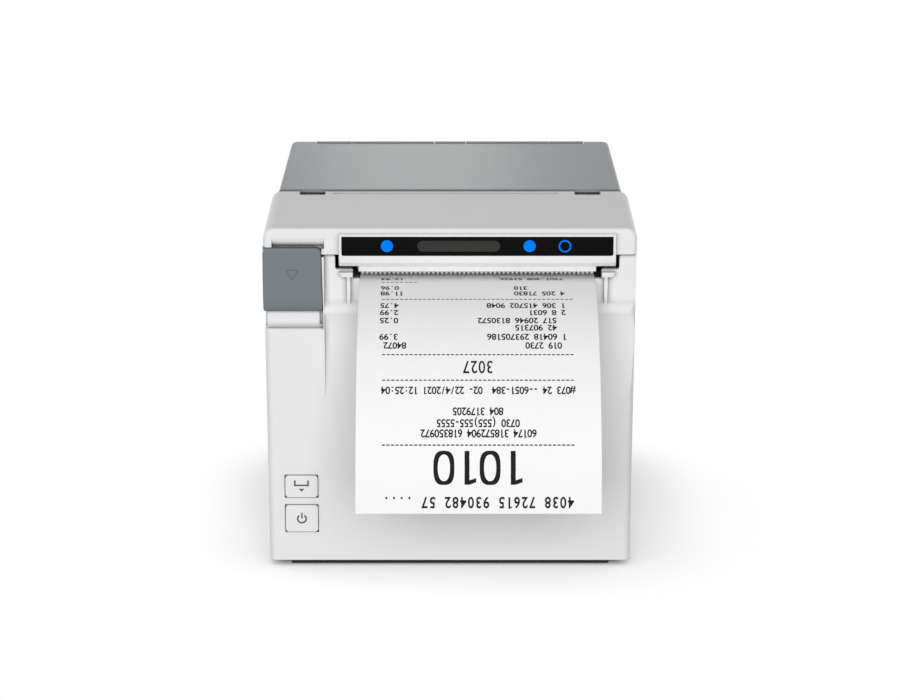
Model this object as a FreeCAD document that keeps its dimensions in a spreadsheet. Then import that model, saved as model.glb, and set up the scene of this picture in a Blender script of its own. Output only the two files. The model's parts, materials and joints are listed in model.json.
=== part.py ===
import FreeCAD, Part
import math
import os
import re
import Sketcher

# Countertop queue ticket printer, in millimetres.
# X runs to the right and Y to the back, both seen from the front, and Z up from the table. The outlines
# below measure Y from the front face of the case. Each finished piece is then moved forward, so that the
# document's origin lies on the table under the middle of the whole machine.

DRIVING_SIZES = (
    ("lever_side", 32.8, "left side of the case to the paper"),
    ("gear_side", 14.2, "paper to the right side of the case"),
    ("front_depth", 53.1, "depth of the white front case"),
    ("side_draft", 0.55, "how much each side leans in towards the table"),
    ("shell_wall", 2.1, "wall of the moulded shells"),
    ("slip_gap", 0.1, "gap between shells that slip into each other"),
    ("part_gap", 0.3, "gap between pieces that move past each other"),
    ("fixed_gap", 0.02, "gap round a piece that sits still in its hole"),
    ("running_gap", 0.05, "gap round a shaft that turns in its hole"),
    ("corner_radius", 2.2, "rounding of the upright front edges"),
    ("shoulder_radius", 3.5, "rounding of the long upper edges"),
    ("crest_radius", 1.6, "rounding of the upper front edge"),
    ("rear_radius", 3.0, "rounding of the upright rear edges"),
    ("foot_height", 2.0, "table to the underside of the case"),
    ("foot_width", 111.0, "length of each rubber foot"),
    ("foot_depth", 7.0, "front to back size of each rubber foot"),
    ("foot_sink", 0.6, "how deep a foot sits in the base plate"),
    ("foot_inset", 2.4, "front face to the front foot"),
    ("base_thick", 2.0, "thickness of the base plate"),
    ("cover_height", 10.8, "height of the bezel cover at its sides"),
    ("cover_gap", 0.9, "seam between the covers and the cases"),
    ("cover_step", 1.2, "how far the bezel cover passes the front case"),
    ("cover_fall", 1.8, "how much the top of the bezel cover falls towards the front"),
    ("skirt_height", 18.2, "height of the sides of the roll cover"),
    ("hinge_inset", 1.0, "rear face to the hinge axis"),
    ("hinge_width", 103.2, "length of the row of hinge knuckles"),
    ("knuckle_radius", 4.3, "radius of the hinge knuckles"),
    ("hinge_pin_radius", 1.5, "radius of the hinge pin"),
    ("knuckle_length", 13.2, "length of an outer hinge knuckle"),
    ("middle_knuckle", 12.0, "length of the middle hinge knuckle"),
    ("knuckle_gap", 0.2, "gap between two hinge knuckles"),
    ("hinge_groove", 0.8, "depth of the line in front of the hinge knuckles"),
    ("paper_width", 80.0, "width of the paper"),
    ("paper_thick", 0.1, "thickness of the ticket paper"),
    ("paper_drop", 19.65, "top of the covers to the underside of the paper in the mechanism"),
    ("paper_gap", 0.15, "gap between the paper and the pieces that touch it"),
    ("ticket_slope", 8.0, "slope of the ticket at the slot, in degrees"),
    ("ticket_hang", 80.0, "slope of the ticket at its end, in degrees"),
    ("ticket_curl", 72.0, "radius of the ticket's curl"),
    ("ticket_tail", 4.0, "straight end of the ticket"),
    ("ticket_lead", 1.0, "how far in front of the case the curl starts"),
    ("recess_depth", 3.0, "depth of the recess beside the slot"),
    ("brow_drop", 10.95, "paper level down to the foot of the slope above the brow"),
    ("brow_rise", 5.4, "height of the slope above the brow"),
    ("crest_height", 0.6, "height of the brow's upright face"),
    ("hollow_depth", 1.5, "depth of the hollow under the brow"),
    ("hollow_height", 30.0, "height of the hollow under the brow"),
    ("hollow_rise", 8.5, "deepest line of the hollow up to the brow"),
    ("opening_corner", 0.7, "rounding of the corners of the opening for the lip"),
    ("lip_reach", 7.05, "side of the paper to the end of the bezel cover's lip"),
    ("lip_clear", 4.75, "paper level up to the lip"),
    ("lip_gap", 1.45, "gap at each end of the lip"),
    ("lip_proud", 1.0, "how far the window frame stands in front of the case"),
    ("nose_reach", 0.4, "side of the paper to the end of the nose under the lip"),
    ("nose_clear", 2.75, "paper level up to the nose"),
    ("slot_reach", 2.45, "side of the paper to the end of the paper slot"),
    ("slot_height", 3.0, "paper level up to the shoulders of the slot"),
    ("window_rim", 0.9, "end of the lip to the status window"),
    ("window_height", 6.7, "height of the status window"),
    ("window_corner", 0.7, "rounding of the window's lower corners"),
    ("frame_rise", 0.7, "window up to the top of its frame"),
    ("frame_sill", 0.8, "window down to the foot of its frame"),
    ("window_drop", 7.7, "top of the covers to the middle of the window"),
    ("window_thick", 1.5, "thickness of the status window"),
    ("light_radius", 2.05, "radius of a status light"),
    ("tear_inset", 0.25, "side of the paper to the end of the tear bar"),
    ("tooth_pitch", 1.5, "pitch of the tear bar's teeth"),
    ("tooth_depth", 1.2, "depth of the tear bar's teeth"),
    ("tear_clear", 1.45, "paper level up to the tips of the teeth"),
    ("tear_thick", 0.6, "thickness of the tear bar"),
    ("rib_thick", 1.5, "thickness of a paper guide rib"),
    ("rib_length", 13.4, "height of a paper guide rib"),
    ("rib_flange", 3.2, "middle of a rib to the outer end of its flange"),
    ("rib_taper", 0.25, "how much a rib narrows on each side"),
    ("rib_proud", 2.2, "how far a rib stands out of the recess"),
    ("rib_inset", 0.7, "end of the slot to a rib"),
    ("groove_width", 1.4, "width of the groove across the bezel cover"),
    ("groove_depth", 1.5, "depth of the groove across the bezel cover"),
    ("notch_width", 9.2, "width of a snap notch"),
    ("notch_side", 48.9, "middle of the machine to the middle of a snap notch"),
    ("notch_depth", 7.3, "front to back size of a snap notch"),
    ("lever_width", 20.3, "width of the open lever"),
    ("lever_height", 22.45, "height of the open lever"),
    ("lever_drop", 8.55, "top of the covers to the top of the lever"),
    ("lever_slant", 0.4, "how much the lever narrows towards its top"),
    ("lever_corner", 1.8, "rounding of the lever's corners"),
    ("mark_drop", 7.4, "top of the lever to the mark pressed in it"),
    ("mark_width", 4.7, "width of the pressed mark"),
    ("mark_height", 3.9, "height of the pressed mark"),
    ("scoop_height", 3.7, "height of the scoop above the lever"),
    ("lever_thick", 3.0, "thickness of the lever's front plate"),
    ("lever_proud", 0.6, "how far the lever stands in front of the case"),
    ("lever_gap", 0.5, "gap behind the lever"),
    ("lever_seam", 0.2, "seam above the lever and on its right"),
    ("lever_slot", 1.4, "width of the slot beside the pocket under the lever"),
    ("lever_rail", 0.4, "wall between the lever and the recess"),
    ("lever_travel", 5.7, "height of the pocket under the lever"),
    ("flank_depth", 6.0, "depth of the lever's side flank"),
    ("latch_back", 40.0, "front face to the latch shaft"),
    ("latch_drop", 9.05, "paper level down to the latch shaft"),
    ("latch_shaft_radius", 2.0, "radius of the latch shaft"),
    ("hook_thick", 1.5, "thickness of a latch hook"),
    ("hook_reach", 13.7, "latch shaft up to the underside of the hook's nose"),
    ("hook_nose", 0.8, "reach of the hook's nose"),
    ("latch_pin_radius", 1.5, "radius of a latch pin"),
    ("button_inset", 6.3, "side of the case to the buttons"),
    ("button_width", 11.2, "width of a button"),
    ("feed_height", 7.9, "height of the feed button"),
    ("feed_level", 25.2, "table to the feed button"),
    ("power_height", 9.7, "height of the power button"),
    ("power_level", 12.6, "table to the power button"),
    ("button_proud", 0.4, "how far a button stands out"),
    ("button_gap", 0.25, "gap round a button"),
    ("button_travel", 0.8, "travel of a button"),
    ("board_thick", 1.6, "thickness of a circuit board"),
    ("board_level", 8.0, "table to the main board"),
    ("platen_back", 27.0, "front face to the platen's axis"),
    ("platen_radius", 6.0, "radius of the platen's rubber"),
    ("platen_shaft_radius", 2.2, "radius of the platen's shaft"),
    ("bearing_wall", 2.0, "wall of a platen bearing"),
    ("frame_plate", 1.5, "thickness of the mechanism's steel plates"),
    ("frame_front", 12.7, "front face to the mechanism frame"),
    ("frame_rear", 46.0, "front face to the rear of the mechanism frame"),
    ("deck_drop", 47.05, "paper level down to the deck of the inner frame"),
    ("deck_thick", 2.5, "thickness of the deck"),
    ("gear_module", 0.8, "module of the paper drive gears"),
    ("gear_width", 1.6, "width of one gear wheel"),
    ("tooth_play", 0.14, "play between the teeth of two gears"),
    ("gear_post_radius", 1.5, "radius of the gear post"),
    ("feed_motor_radius", 12.5, "radius of the feed motor"),
    ("feed_motor_length", 20.0, "length of the feed motor"),
    ("motor_shaft_radius", 1.0, "radius of a motor's shaft"),
    ("rack_module", 0.6, "module of the cutter's rack and pinion"),
    ("cutter_motor_radius", 8.0, "radius of the cutter motor"),
    ("cutter_motor_length", 20.0, "length of the cutter motor"),
    ("cutter_side", 13.8, "side of the paper to the cutter motor's axis"),
    ("cutter_drop", 25.05, "paper level down to the cutter motor's axis"),
    ("blade_thick", 0.7, "thickness of the moving blade"),
    ("blade_back", 11.7, "front face to the moving blade"),
    ("blade_gap", 0.2, "gap between the two blades"),
    ("blade_rest", 1.2, "paper level down to the resting moving blade"),
    ("fixed_blade_thick", 1.0, "thickness of the fixed blade"),
    ("head_thick", 1.0, "thickness of the print head"),
    ("sink_thick", 3.7, "thickness of the heat sink"),
    ("head_pivot_back", 43.0, "front face to the head's pivot"),
    ("head_pivot_rise", 7.95, "paper level up to the head's pivot"),
    ("head_pin_radius", 1.5, "radius of the head's pivot pin"),
    ("bracket_thick", 1.2, "thickness of the head bracket"),
    ("carrier_drop", 4.3, "top of the covers to the inner plate of the roll cover"),
    ("carrier_thick", 2.4, "thickness of the inner plate of the roll cover"),
    ("spring_radius", 2.5, "mean radius of a head spring"),
    ("spring_wire", 0.6, "wire of the springs"),
    ("roll_radius", 36.0, "radius of the paper roll"),
    ("core_radius", 9.0, "radius of the roll's core"),
    ("core_bore", 6.25, "radius of the core's bore"),
    ("roll_room", 5.0, "room round the paper roll in its bin"),
    ("roll_drop", 0.75, "paper level down to the top of the roll"),
    ("bin_wall", 1.8, "wall of the roll bin"),
    ("bin_gap", 6.2, "mechanism frame to the roll bin"),
    ("rear_gap", 3.1, "roll bin to the rear wall"),
    ("bin_rise", 18.6, "main board up to the roll bin"),
    ("bin_play", 0.8, "gap at each end of the roll"),
    ("leg_size", 5.0, "side of a leg of the inner frame"),
    ("leg_inset", 13.0, "front face to the front legs of the inner frame"),
    ("board_width", 78.0, "width of the main board"),
    ("board_inset", 3.9, "rear wall to the main board"),
    ("board_front", 35.0, "middle of the roll bin forward to the main board's edge"),
    ("board_spot", 3.0, "edge of the main board to the middle of its screws"),
    ("rear_spot", 18.0, "rear edge of the main board to its rear screws"),
    ("chip_size", 14.0, "side of the largest chip"),
    ("capacitor_radius", 4.0, "radius of a capacitor"),
    ("capacitor_height", 9.0, "height of a capacitor"),
    ("socket_wall", 1.5, "wall of a socket's shell"),
    ("socket_depth", 10.0, "depth of a socket"),
    ("socket_inset", 1.7, "edge of the main board to the first socket"),
    ("socket_space", 6.0, "gap between two sockets"),
    ("power_width", 12.0, "width of the power inlet"),
    ("usb_width", 12.0, "width of the data socket"),
    ("network_width", 16.0, "width of the network socket"),
    ("drawer_width", 13.0, "width of the cash drawer socket"),
    ("ribbon_inset", 26.4, "rear wall to the ribbon's end on the main board"),
    ("ribbon_width", 20.0, "width of a flat cable"),
    ("ribbon_thick", 0.4, "thickness of a flat cable"),
)

ALIASES = {name for name, number, meaning in DRIVING_SIZES}

# The sizes of the whole machine, which follow from the pieces that stand next to each other.
STACKED_SIZES = {
    "case_width": "(lever_side + paper_width + gear_side)",
    "paper_offset": "((lever_side - gear_side) / 2)",
    "bin_radius": "(roll_radius + roll_room)",
    "bin_drop": "(roll_drop + roll_radius + part_gap - roll_room)",
    "roll_back": "(frame_rear + bin_gap + bin_wall + roll_radius + roll_room)",
    "case_depth": "(frame_rear + bin_gap + 2 * (bin_wall + roll_radius + roll_room) + rear_gap + shell_wall)",
    "top_height": ("(board_level + board_thick + bin_rise + bin_wall + 2 * roll_radius + part_gap + roll_drop"
                   " + paper_drop)"),
    "lip_width": "(paper_width + 2 * lip_reach)",
    "nose_width": "(paper_width + 2 * nose_reach)",
    "slot_width": "(paper_width + 2 * slot_reach)",
    "window_width": "(paper_width + 2 * lip_reach - 2 * window_rim)",
    "tear_width": "(paper_width - 2 * tear_inset)",
}
PIECES = []

doc = FreeCAD.newDocument("TicketPrinter")
sheet = doc.addObject("Spreadsheet::Sheet", "Sizes")
for row, (name, number, meaning) in enumerate(DRIVING_SIZES, start=1):
    sheet.set(f"A{row}", meaning)
    sheet.set(f"B{row}", str(number))
    sheet.setAlias(f"B{row}", name)
doc.recompute()

# Levels and lines that several pieces share, each written in the driving sizes.
HALF = "(case_width / 2)"
GREY_HALF = "(case_width / 2 - shell_wall - slip_gap)"
COVER_LOW = "(top_height - cover_height)"
CASE_TOP = "(top_height - cover_height - cover_gap)"
SKIRT_LOW = "(top_height - skirt_height)"
SIDE_TOP = "(top_height - skirt_height - cover_gap)"
LID_FRONT = "(front_depth + cover_step + 0.6)"
REAR_WALL = "(case_depth - shell_wall)"
BASE_TOP = "(foot_height + base_thick)"
HINGE_BACK = "(case_depth - hinge_inset)"
HINGE_LEVEL = "(top_height - knuckle_radius)"
PAPER = "(top_height - paper_drop)"
PAPER_TOP = "(top_height - paper_drop + paper_thick)"
PAPER_LEFT = "(paper_offset - paper_width / 2)"
PAPER_RIGHT = "(paper_offset + paper_width / 2)"
BROW = "(top_height - paper_drop - brow_drop)"
PLATEN_LEVEL = "(top_height - paper_drop - paper_gap - platen_radius)"
LATCH_LEVEL = "(top_height - paper_drop - latch_drop)"
DECK_TOP = "(top_height - paper_drop - deck_drop)"
CROSS_TOP = "(top_height - paper_drop - deck_drop + frame_plate)"
LEVER_TOP = "(top_height - lever_drop)"
LEVER_LOW = "(top_height - lever_drop - lever_height)"
LEVER_LEFT = "(-case_width / 2 - part_gap)"
LEVER_RIGHT = "(-case_width / 2 - part_gap + lever_width)"
POCKET_RIGHT = "(-case_width / 2 - part_gap + lever_width + lever_seam)"
FRAME_LEFT = "(paper_offset - paper_width / 2 - 5.3)"
FRAME_RIGHT = "(paper_offset + paper_width / 2 + 5.3)"
GEARS_LEFT = "(paper_offset + paper_width / 2 + 5.3 + hook_thick + 0.8)"
CARRIER_TOP = "(top_height - carrier_drop)"
CARRIER_LOW = "(top_height - carrier_drop - carrier_thick)"
BRACKET_LEFT = "(paper_offset - paper_width / 2 - 3.5)"
BRACKET_RIGHT = "(paper_offset + paper_width / 2 + 3.5)"
HEAD_LOW = "(top_height - paper_drop + paper_thick + paper_gap)"
HEAD_TOP = "(top_height - paper_drop + paper_thick + paper_gap + head_thick)"
SINK_TOP = "(top_height - paper_drop + paper_thick + paper_gap + head_thick + sink_thick)"
PIVOT_LEVEL = "(top_height - paper_drop + head_pivot_rise)"
BIN_LEVEL = "(top_height - paper_drop - bin_drop)"
ROLL_LEVEL = "(top_height - paper_drop - bin_drop - bin_radius + part_gap + roll_radius)"
BOARD_TOP = "(board_level + board_thick)"
TICKET_REACH = ("(ticket_lead + ticket_curl * (sin(ticket_hang) - sin(ticket_slope))"
                " + ticket_tail * cos(ticket_hang))")
SETBACK = "((case_depth - hinge_inset + knuckle_radius - " + TICKET_REACH + ") / 2)"


def tied(text):
    """An expression in which each driving size is read from the sheet."""
    text = re.sub(r"[a-z_]+", lambda word: STACKED_SIZES.get(word[0], word[0]), text)
    return re.sub(r"[a-z_]+", lambda word: "Sizes." + word[0] if word[0] in ALIASES else word[0], text)


def value(text):
    """The number that an expression gives with the sizes as they are."""
    return float(sheet.evalExpression(tied(text)))


def fault(thing):
    return "Invalid" in thing.State or "Error" in thing.State


# Sketches

def draw_circle(sketch, across, up, radius):
    middle = FreeCAD.Vector(value(across), value(up), 0)
    item = sketch.addGeometry(Part.Circle(middle, FreeCAD.Vector(0, 0, 1), value(radius)))
    for kind, text in (("DistanceX", across), ("DistanceY", up)):
        index = sketch.addConstraint(Sketcher.Constraint(kind, -1, 1, item, 3, value(text)))
        sketch.setExpression(f"Constraints[{index}]", tied(text))
    index = sketch.addConstraint(Sketcher.Constraint("Radius", item, value(radius)))
    sketch.setExpression(f"Constraints[{index}]", tied(radius))


def arc_between(start, end, radius, side):
    """The short arc from start to end whose centre is left or right of its chord."""
    chord = end - start
    normal = FreeCAD.Vector(-chord.y, chord.x, 0).normalize()
    sign = 1 if side == "left" else -1
    reach = math.sqrt(radius ** 2 - (chord.Length / 2) ** 2)
    centre = (start + end) / 2 + normal * (sign * reach)
    first, last = (start, end) if side == "left" else (end, start)
    angles = [math.atan2(point.y - centre.y, point.x - centre.x) for point in (first, last)]
    circle = Part.Circle(centre, FreeCAD.Vector(0, 0, 1), radius)
    return Part.ArcOfCircle(circle, angles[0], angles[1])


def draw_outline(sketch, corners):
    points = [FreeCAD.Vector(value(corner[0]), value(corner[1]), 0) for corner in corners]
    ends = []
    for index, corner in enumerate(corners):
        start, end = points[index], points[(index + 1) % len(points)]
        if len(corner) == 2:
            item = sketch.addGeometry(Part.LineSegment(start, end))
            ends.append((item, 1, 2))
            continue
        item = sketch.addGeometry(arc_between(start, end, value(corner[2]), corner[3]))
        ends.append((item, 1, 2) if corner[3] == "left" else (item, 2, 1))
    for index, (item, first, last) in enumerate(ends):
        after, after_first, after_last = ends[(index + 1) % len(ends)]
        sketch.addConstraint(Sketcher.Constraint("Coincident", item, last, after, after_first))
    for (item, first, last), corner in zip(ends, corners):
        for kind, text in (("DistanceX", corner[0]), ("DistanceY", corner[1])):
            index = sketch.addConstraint(Sketcher.Constraint(kind, -1, 1, item, first, value(text)))
            sketch.setExpression(f"Constraints[{index}]", tied(text))
        if len(corner) == 4:
            index = sketch.addConstraint(Sketcher.Constraint("Radius", item, value(corner[2])))
            sketch.setExpression(f"Constraints[{index}]", tied(corner[2]))


def draw(sketch, loops):
    """Draw each loop: a circle (across, up, radius), or a list of corners.

    A corner is (across, up), or (across, up, radius, side) where an arc leaves it."""
    for loop in loops:
        if isinstance(loop, tuple):
            draw_circle(sketch, *loop)
        else:
            draw_outline(sketch, loop)


def box_loop(across, up):
    """A rectangle between two (low, high) pairs."""
    return [(across[0], up[0]), (across[1], up[0]), (across[1], up[1]), (across[0], up[1])]


# Part Design bodies: features are drawn on an origin plane that is moved to one end of their span.

def new_body(name):
    return doc.addObject("PartDesign::Body", name)


def sketch_on(body, plane, loops, offset):
    sketch = body.newObject("Sketcher::SketchObject", body.Name + "_sketch")
    role = plane + "_Plane"
    origin_plane = [item for item in body.Origin.OriginFeatures if item.Role == role][0]
    sketch.AttachmentSupport = [(origin_plane, "")]
    sketch.MapMode = "FlatFace"
    sketch.setExpression("AttachmentOffset.Base.z", tied(offset))
    draw(sketch, loops)
    return sketch


def volume_of(body):
    doc.recompute()
    if fault(body.Tip):
        raise ValueError(f"{body.Tip.Name} failed")
    return body.Tip.Shape.Volume


def add(body, plane, loops, span):
    """Pad closed loops over a span of the third axis."""
    before = volume_of(body) if body.Tip else 0.0
    low, high = span
    offset = f"-({high})" if plane == "XZ" else low
    sketch = sketch_on(body, plane, loops, offset)
    feature = body.newObject("PartDesign::Pad", body.Name + "_pad")
    feature.Profile = sketch
    feature.setExpression("Length", tied(f"({high}) - ({low})"))
    if volume_of(body) <= before:
        raise ValueError(f"{feature.Name} adds nothing")
    return feature


def remove(body, plane, loops, span):
    """Pocket closed loops over a span of the third axis."""
    before = volume_of(body)
    low, high = span
    offset = f"-({low})" if plane == "XZ" else high
    sketch = sketch_on(body, plane, loops, offset)
    feature = body.newObject("PartDesign::Pocket", body.Name + "_pocket")
    feature.Profile = sketch
    feature.setExpression("Length", tied(f"({high}) - ({low})"))
    if volume_of(body) >= before:
        raise ValueError(f"{feature.Name} cuts nothing")
    return feature


def soften(body, radius, axis, places, kind="Fillet", lean=0.9):
    """Round or chamfer the edges along an axis, or a little off it, that pass one of the places."""
    base = body.Tip
    lean = value(str(lean))
    names = []
    for number, edge in enumerate(base.Shape.Edges, start=1):
        box = edge.BoundBox
        sizes = {"x": box.XLength, "y": box.YLength, "z": box.ZLength}
        if sizes[axis] < 1.5 or any(sizes[other] > lean for other in "xyz" if other != axis):
            continue
        centre = {"x": box.Center.x, "y": box.Center.y, "z": box.Center.z}
        for place in places:
            if all(abs(centre[key] - value(text)) < 0.4 for key, text in place.items()):
                names.append(f"Edge{number}")
                break
    feature = body.newObject("PartDesign::" + kind, body.Name + "_" + kind.lower())
    feature.Base = (base, names)
    feature.setExpression("Radius" if kind == "Fillet" else "Size", tied(radius))
    volume_of(body)
    return feature


# Part primitives and booleans

TURNS = {
    "XY": FreeCAD.Rotation(),
    "YZ": FreeCAD.Rotation(FreeCAD.Vector(1, 1, 1), 120),
    "XZ": FreeCAD.Rotation(FreeCAD.Vector(1, 0, 0), 90),
}
SHAFT_TURNS = {
    "x": FreeCAD.Rotation(FreeCAD.Vector(0, 1, 0), 90),
    "y": FreeCAD.Rotation(FreeCAD.Vector(1, 0, 0), -90),
    "z": FreeCAD.Rotation(),
}


def slab(across, back, up):
    """A box between (low, high) pairs on X, Y and Z."""
    solid = doc.addObject("Part::Box", "slab")
    for side, axis, (low, high) in (("Length", "x", across), ("Width", "y", back), ("Height", "z", up)):
        solid.setExpression(side, tied(f"({high}) - ({low})"))
        solid.setExpression("Placement.Base." + axis, tied(low))
    return solid


def rod(axis, centre, span, radius):
    """A cylinder along an axis; centre gives the other two coordinates in X, Y, Z order."""
    solid = doc.addObject("Part::Cylinder", "rod")
    solid.setExpression("Radius", tied(radius))
    solid.setExpression("Height", tied(f"({span[1]}) - ({span[0]})"))
    solid.Placement = FreeCAD.Placement(FreeCAD.Vector(), SHAFT_TURNS[axis])
    others = [other for other in "xyz" if other != axis]
    for other, text in zip(others, centre):
        solid.setExpression("Placement.Base." + other, tied(text))
    solid.setExpression("Placement.Base." + axis, tied(span[0]))
    return solid


def tube(axis, centre, span, radius, bore):
    return cut(rod(axis, centre, span, radius),
               [rod(axis, centre, (f"{span[0]} - 1", f"{span[1]} + 1"), bore)])


def prism(plane, loops, span):
    """Closed loops extruded over a span of the third axis."""
    low, high = span
    sketch = doc.addObject("Sketcher::SketchObject", "outline")
    sketch.Placement = FreeCAD.Placement(FreeCAD.Vector(), TURNS[plane])
    axis = {"XY": "z", "YZ": "x", "XZ": "y"}[plane]
    sketch.setExpression("Placement.Base." + axis, tied(high if plane == "XZ" else low))
    draw(sketch, loops)
    solid = doc.addObject("Part::Extrusion", "prism")
    solid.Base = sketch
    solid.DirMode = "Normal"
    solid.Solid = True
    solid.setExpression("LengthFwd", tied(f"({high}) - ({low})"))
    return solid


def fuse(solids):
    joined = doc.addObject("Part::MultiFuse", "fuse")
    joined.Shapes = solids
    return joined


def group(solids):
    kept = doc.addObject("Part::Compound", "group")
    kept.Links = solids
    return kept


def cut(base, tools):
    carved = doc.addObject("Part::Cut", "cut")
    carved.Base = base
    carved.Tool = tools[0] if len(tools) == 1 else group(tools)
    return carved


def piece(label, solid):
    """Name a finished piece and move it forward to the machine's own origin."""
    solid.Label = label
    own = [entry[1] for entry in solid.ExpressionEngine if entry[0].endswith("Placement.Base.y")]
    start = f"({own[0]})" if own else "0"
    solid.setExpression("Placement.Base.y", f"{start} - {tied(SETBACK)}")
    PIECES.append(solid)


def shaped(label, shape):
    """A piece whose outline follows a formula."""
    solid = doc.addObject("Part::Feature", label)
    solid.Shape = shape
    solid.Placement = FreeCAD.Placement()
    piece(label, solid)


# Shells

def front_case():
    body = new_body("front_case_body")
    foot_half = f"({HALF} - side_draft)"
    add(body, "XZ", [[(f"-{foot_half}", "foot_height"), (foot_half, "foot_height"), (HALF, CASE_TOP),
                      (f"-{HALF}", CASE_TOP)]], ("0", "front_depth"))
    soften(body, "corner_radius", "z", [{"x": f"{HALF} - side_draft / 2", "y": "0"},
                                        {"x": f"side_draft / 2 - {HALF}", "y": "0"}])
    inner = f"({HALF} - shell_wall)"
    recess_inner = "recess_depth + shell_wall + 0.2"
    crest_low = f"({BROW} - crest_height)"
    remove(body, "YZ", [[("shell_wall", "foot_height - 1"),
                         ("shell_wall", f"{crest_low} - hollow_height - 3"),
                         (recess_inner, f"{crest_low} - 5"), (recess_inner, "top_height"),
                         ("front_depth + 1", "top_height"), ("front_depth + 1", "foot_height - 1")]],
           (f"-{inner}", inner))
    # The recess beside the slot, its brow and the shallow hollow under the brow
    recess_left = f"({POCKET_RIGHT} + lever_rail)"
    bend = "(((recess_depth / 2) ^ 2 + (brow_rise / 2) ^ 2) / recess_depth)"
    hollow_bend = "((hollow_rise ^ 2 + hollow_depth ^ 2) / (2 * hollow_depth))"
    remove(body, "YZ", [[("-1", f"{CASE_TOP} + 1"), ("-1", BROW), ("0", BROW, bend, "right"),
                         ("recess_depth / 2", f"{BROW} + brow_rise / 2", bend, "left"),
                         ("recess_depth", f"{BROW} + brow_rise"), ("recess_depth", f"{CASE_TOP} + 1")]],
           (recess_left, f"{HALF} + 1"))
    remove(body, "YZ", [[("-1", crest_low), ("-1", f"{crest_low} - hollow_height"),
                         ("0", f"{crest_low} - hollow_height"),
                         ("hollow_depth", f"{crest_low} - hollow_rise", hollow_bend, "left"),
                         ("0", crest_low)]], (recess_left, f"{HALF} + 1"))
    # The opening for the lip, and the paper slot below it
    lip, slot = "(lip_width / 2 + lip_gap)", "(slot_width / 2)"
    shoulder, sill = f"({PAPER} + slot_height)", f"({PAPER} - part_gap)"
    remove(body, "XZ", [[(f"paper_offset - {lip}", "top_height"), (f"paper_offset - {lip}", shoulder),
                         (f"paper_offset - {slot}", shoulder), (f"paper_offset - {slot}", sill),
                         (f"paper_offset + {slot}", sill), (f"paper_offset + {slot}", shoulder),
                         (f"paper_offset + {lip}", shoulder), (f"paper_offset + {lip}", "top_height")]],
           ("-1", "recess_depth + shell_wall + 1"))
    soften(body, "opening_corner", "y", [{"x": f"paper_offset + {side} * {width}",
                                          "z": level} for side in (-1, 1)
                                         for width, level in ((lip, CASE_TOP), (lip, shoulder),
                                                              (slot, shoulder))])
    # The seat of the open lever, the pocket that it drops into and the step for its flank
    remove(body, "XZ", [[(f"-{inner}", f"{LEVER_LOW} - part_gap"),
                         (POCKET_RIGHT, f"{LEVER_LOW} - part_gap"),
                         (f"{POCKET_RIGHT} - lever_slant", f"{CASE_TOP} + 1"),
                         (f"-{inner}", f"{CASE_TOP} + 1")]],
           ("-1", "recess_depth + shell_wall + 1"))
    remove(body, "XZ", [box_loop((f"-{HALF} - 1", f"0.3 - {inner}"),
                                 (f"{LEVER_LOW} - part_gap", f"{CASE_TOP} + 1"))],
           ("-1", "lever_thick - lever_proud + lever_gap"))
    pocket_low = f"({LEVER_LOW} - lever_travel)"
    remove(body, "YZ", [[("-1", f"{LEVER_LOW} + 1"), ("-1", pocket_low), ("0", pocket_low),
                         ("3.6", f"{pocket_low} - 0.8"),
                         ("3.9", f"{LEVER_LOW} + 1")]], (f"-{HALF} - 1", POCKET_RIGHT))
    soften(body, "0.6", "x", [{"y": "0", "z": pocket_low}], "Chamfer")
    remove(body, "XZ", [box_loop((f"{POCKET_RIGHT} - lever_slot", POCKET_RIGHT),
                                 (f"{pocket_low} + 0.6", f"{LEVER_LOW} + 1"))],
           ("1", "recess_depth + 1.6"))
    remove(body, "XZ", [box_loop((f"-{HALF} - 1", f"0.8 - {HALF}"), (pocket_low, f"{CASE_TOP} + 1"))],
           ("-1", "flank_depth + 2"))
    # Button openings
    for level, height in (("feed_level", "feed_height"), ("power_level", "power_height")):
        left = f"(button_inset - {HALF})"
        remove(body, "XZ", [box_loop((f"{left} - button_gap", f"{left} + button_width + button_gap"),
                                     (f"{level} - button_gap", f"{level} + {height} + button_gap"))],
               ("-1", "shell_wall + 1"))
    # Guide ribs with their flanges, one at each end of the slot
    flange_low, flange_top = f"({shoulder} - 2.2)", f"({shoulder} - 0.6)"
    rib_low = f"({shoulder} - rib_length)"
    for side in (-1, 1):
        edge = f"(paper_offset + {side} * ({slot} + rib_thick / 2 + rib_inset))"
        wide, narrow = "(rib_thick / 2)", "(rib_thick / 2 - rib_taper)"
        add(body, "XZ", [[(f"{edge} - {narrow}", f"{rib_low} + {narrow}", narrow, "left"),
                          (edge, rib_low, narrow, "left"),
                          (f"{edge} + {narrow}", f"{rib_low} + {narrow}"), (f"{edge} + {wide}", flange_top),
                          (f"{edge} - {wide}", flange_top)]],
            ("recess_depth - rib_proud", "recess_depth + 0.5"))
        add(body, "YZ", [[("recess_depth - 1", f"{flange_low} - rib_length / 2"), ("0.4", flange_low),
                          ("0.4", flange_top), ("recess_depth - 1", flange_top)]],
            (f"{edge} - {narrow}", f"{edge} + {narrow}"))
        outer, inside = f"({edge} + {side} * rib_flange)", f"(paper_offset + {side} * {slot})"
        add(body, "XZ", [[(inside, flange_low), (inside, flange_top), (outer, flange_top),
                          (f"{outer} - {side} * 0.9", flange_low)]],
            ("0.4", "recess_depth + 0.5"))
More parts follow.
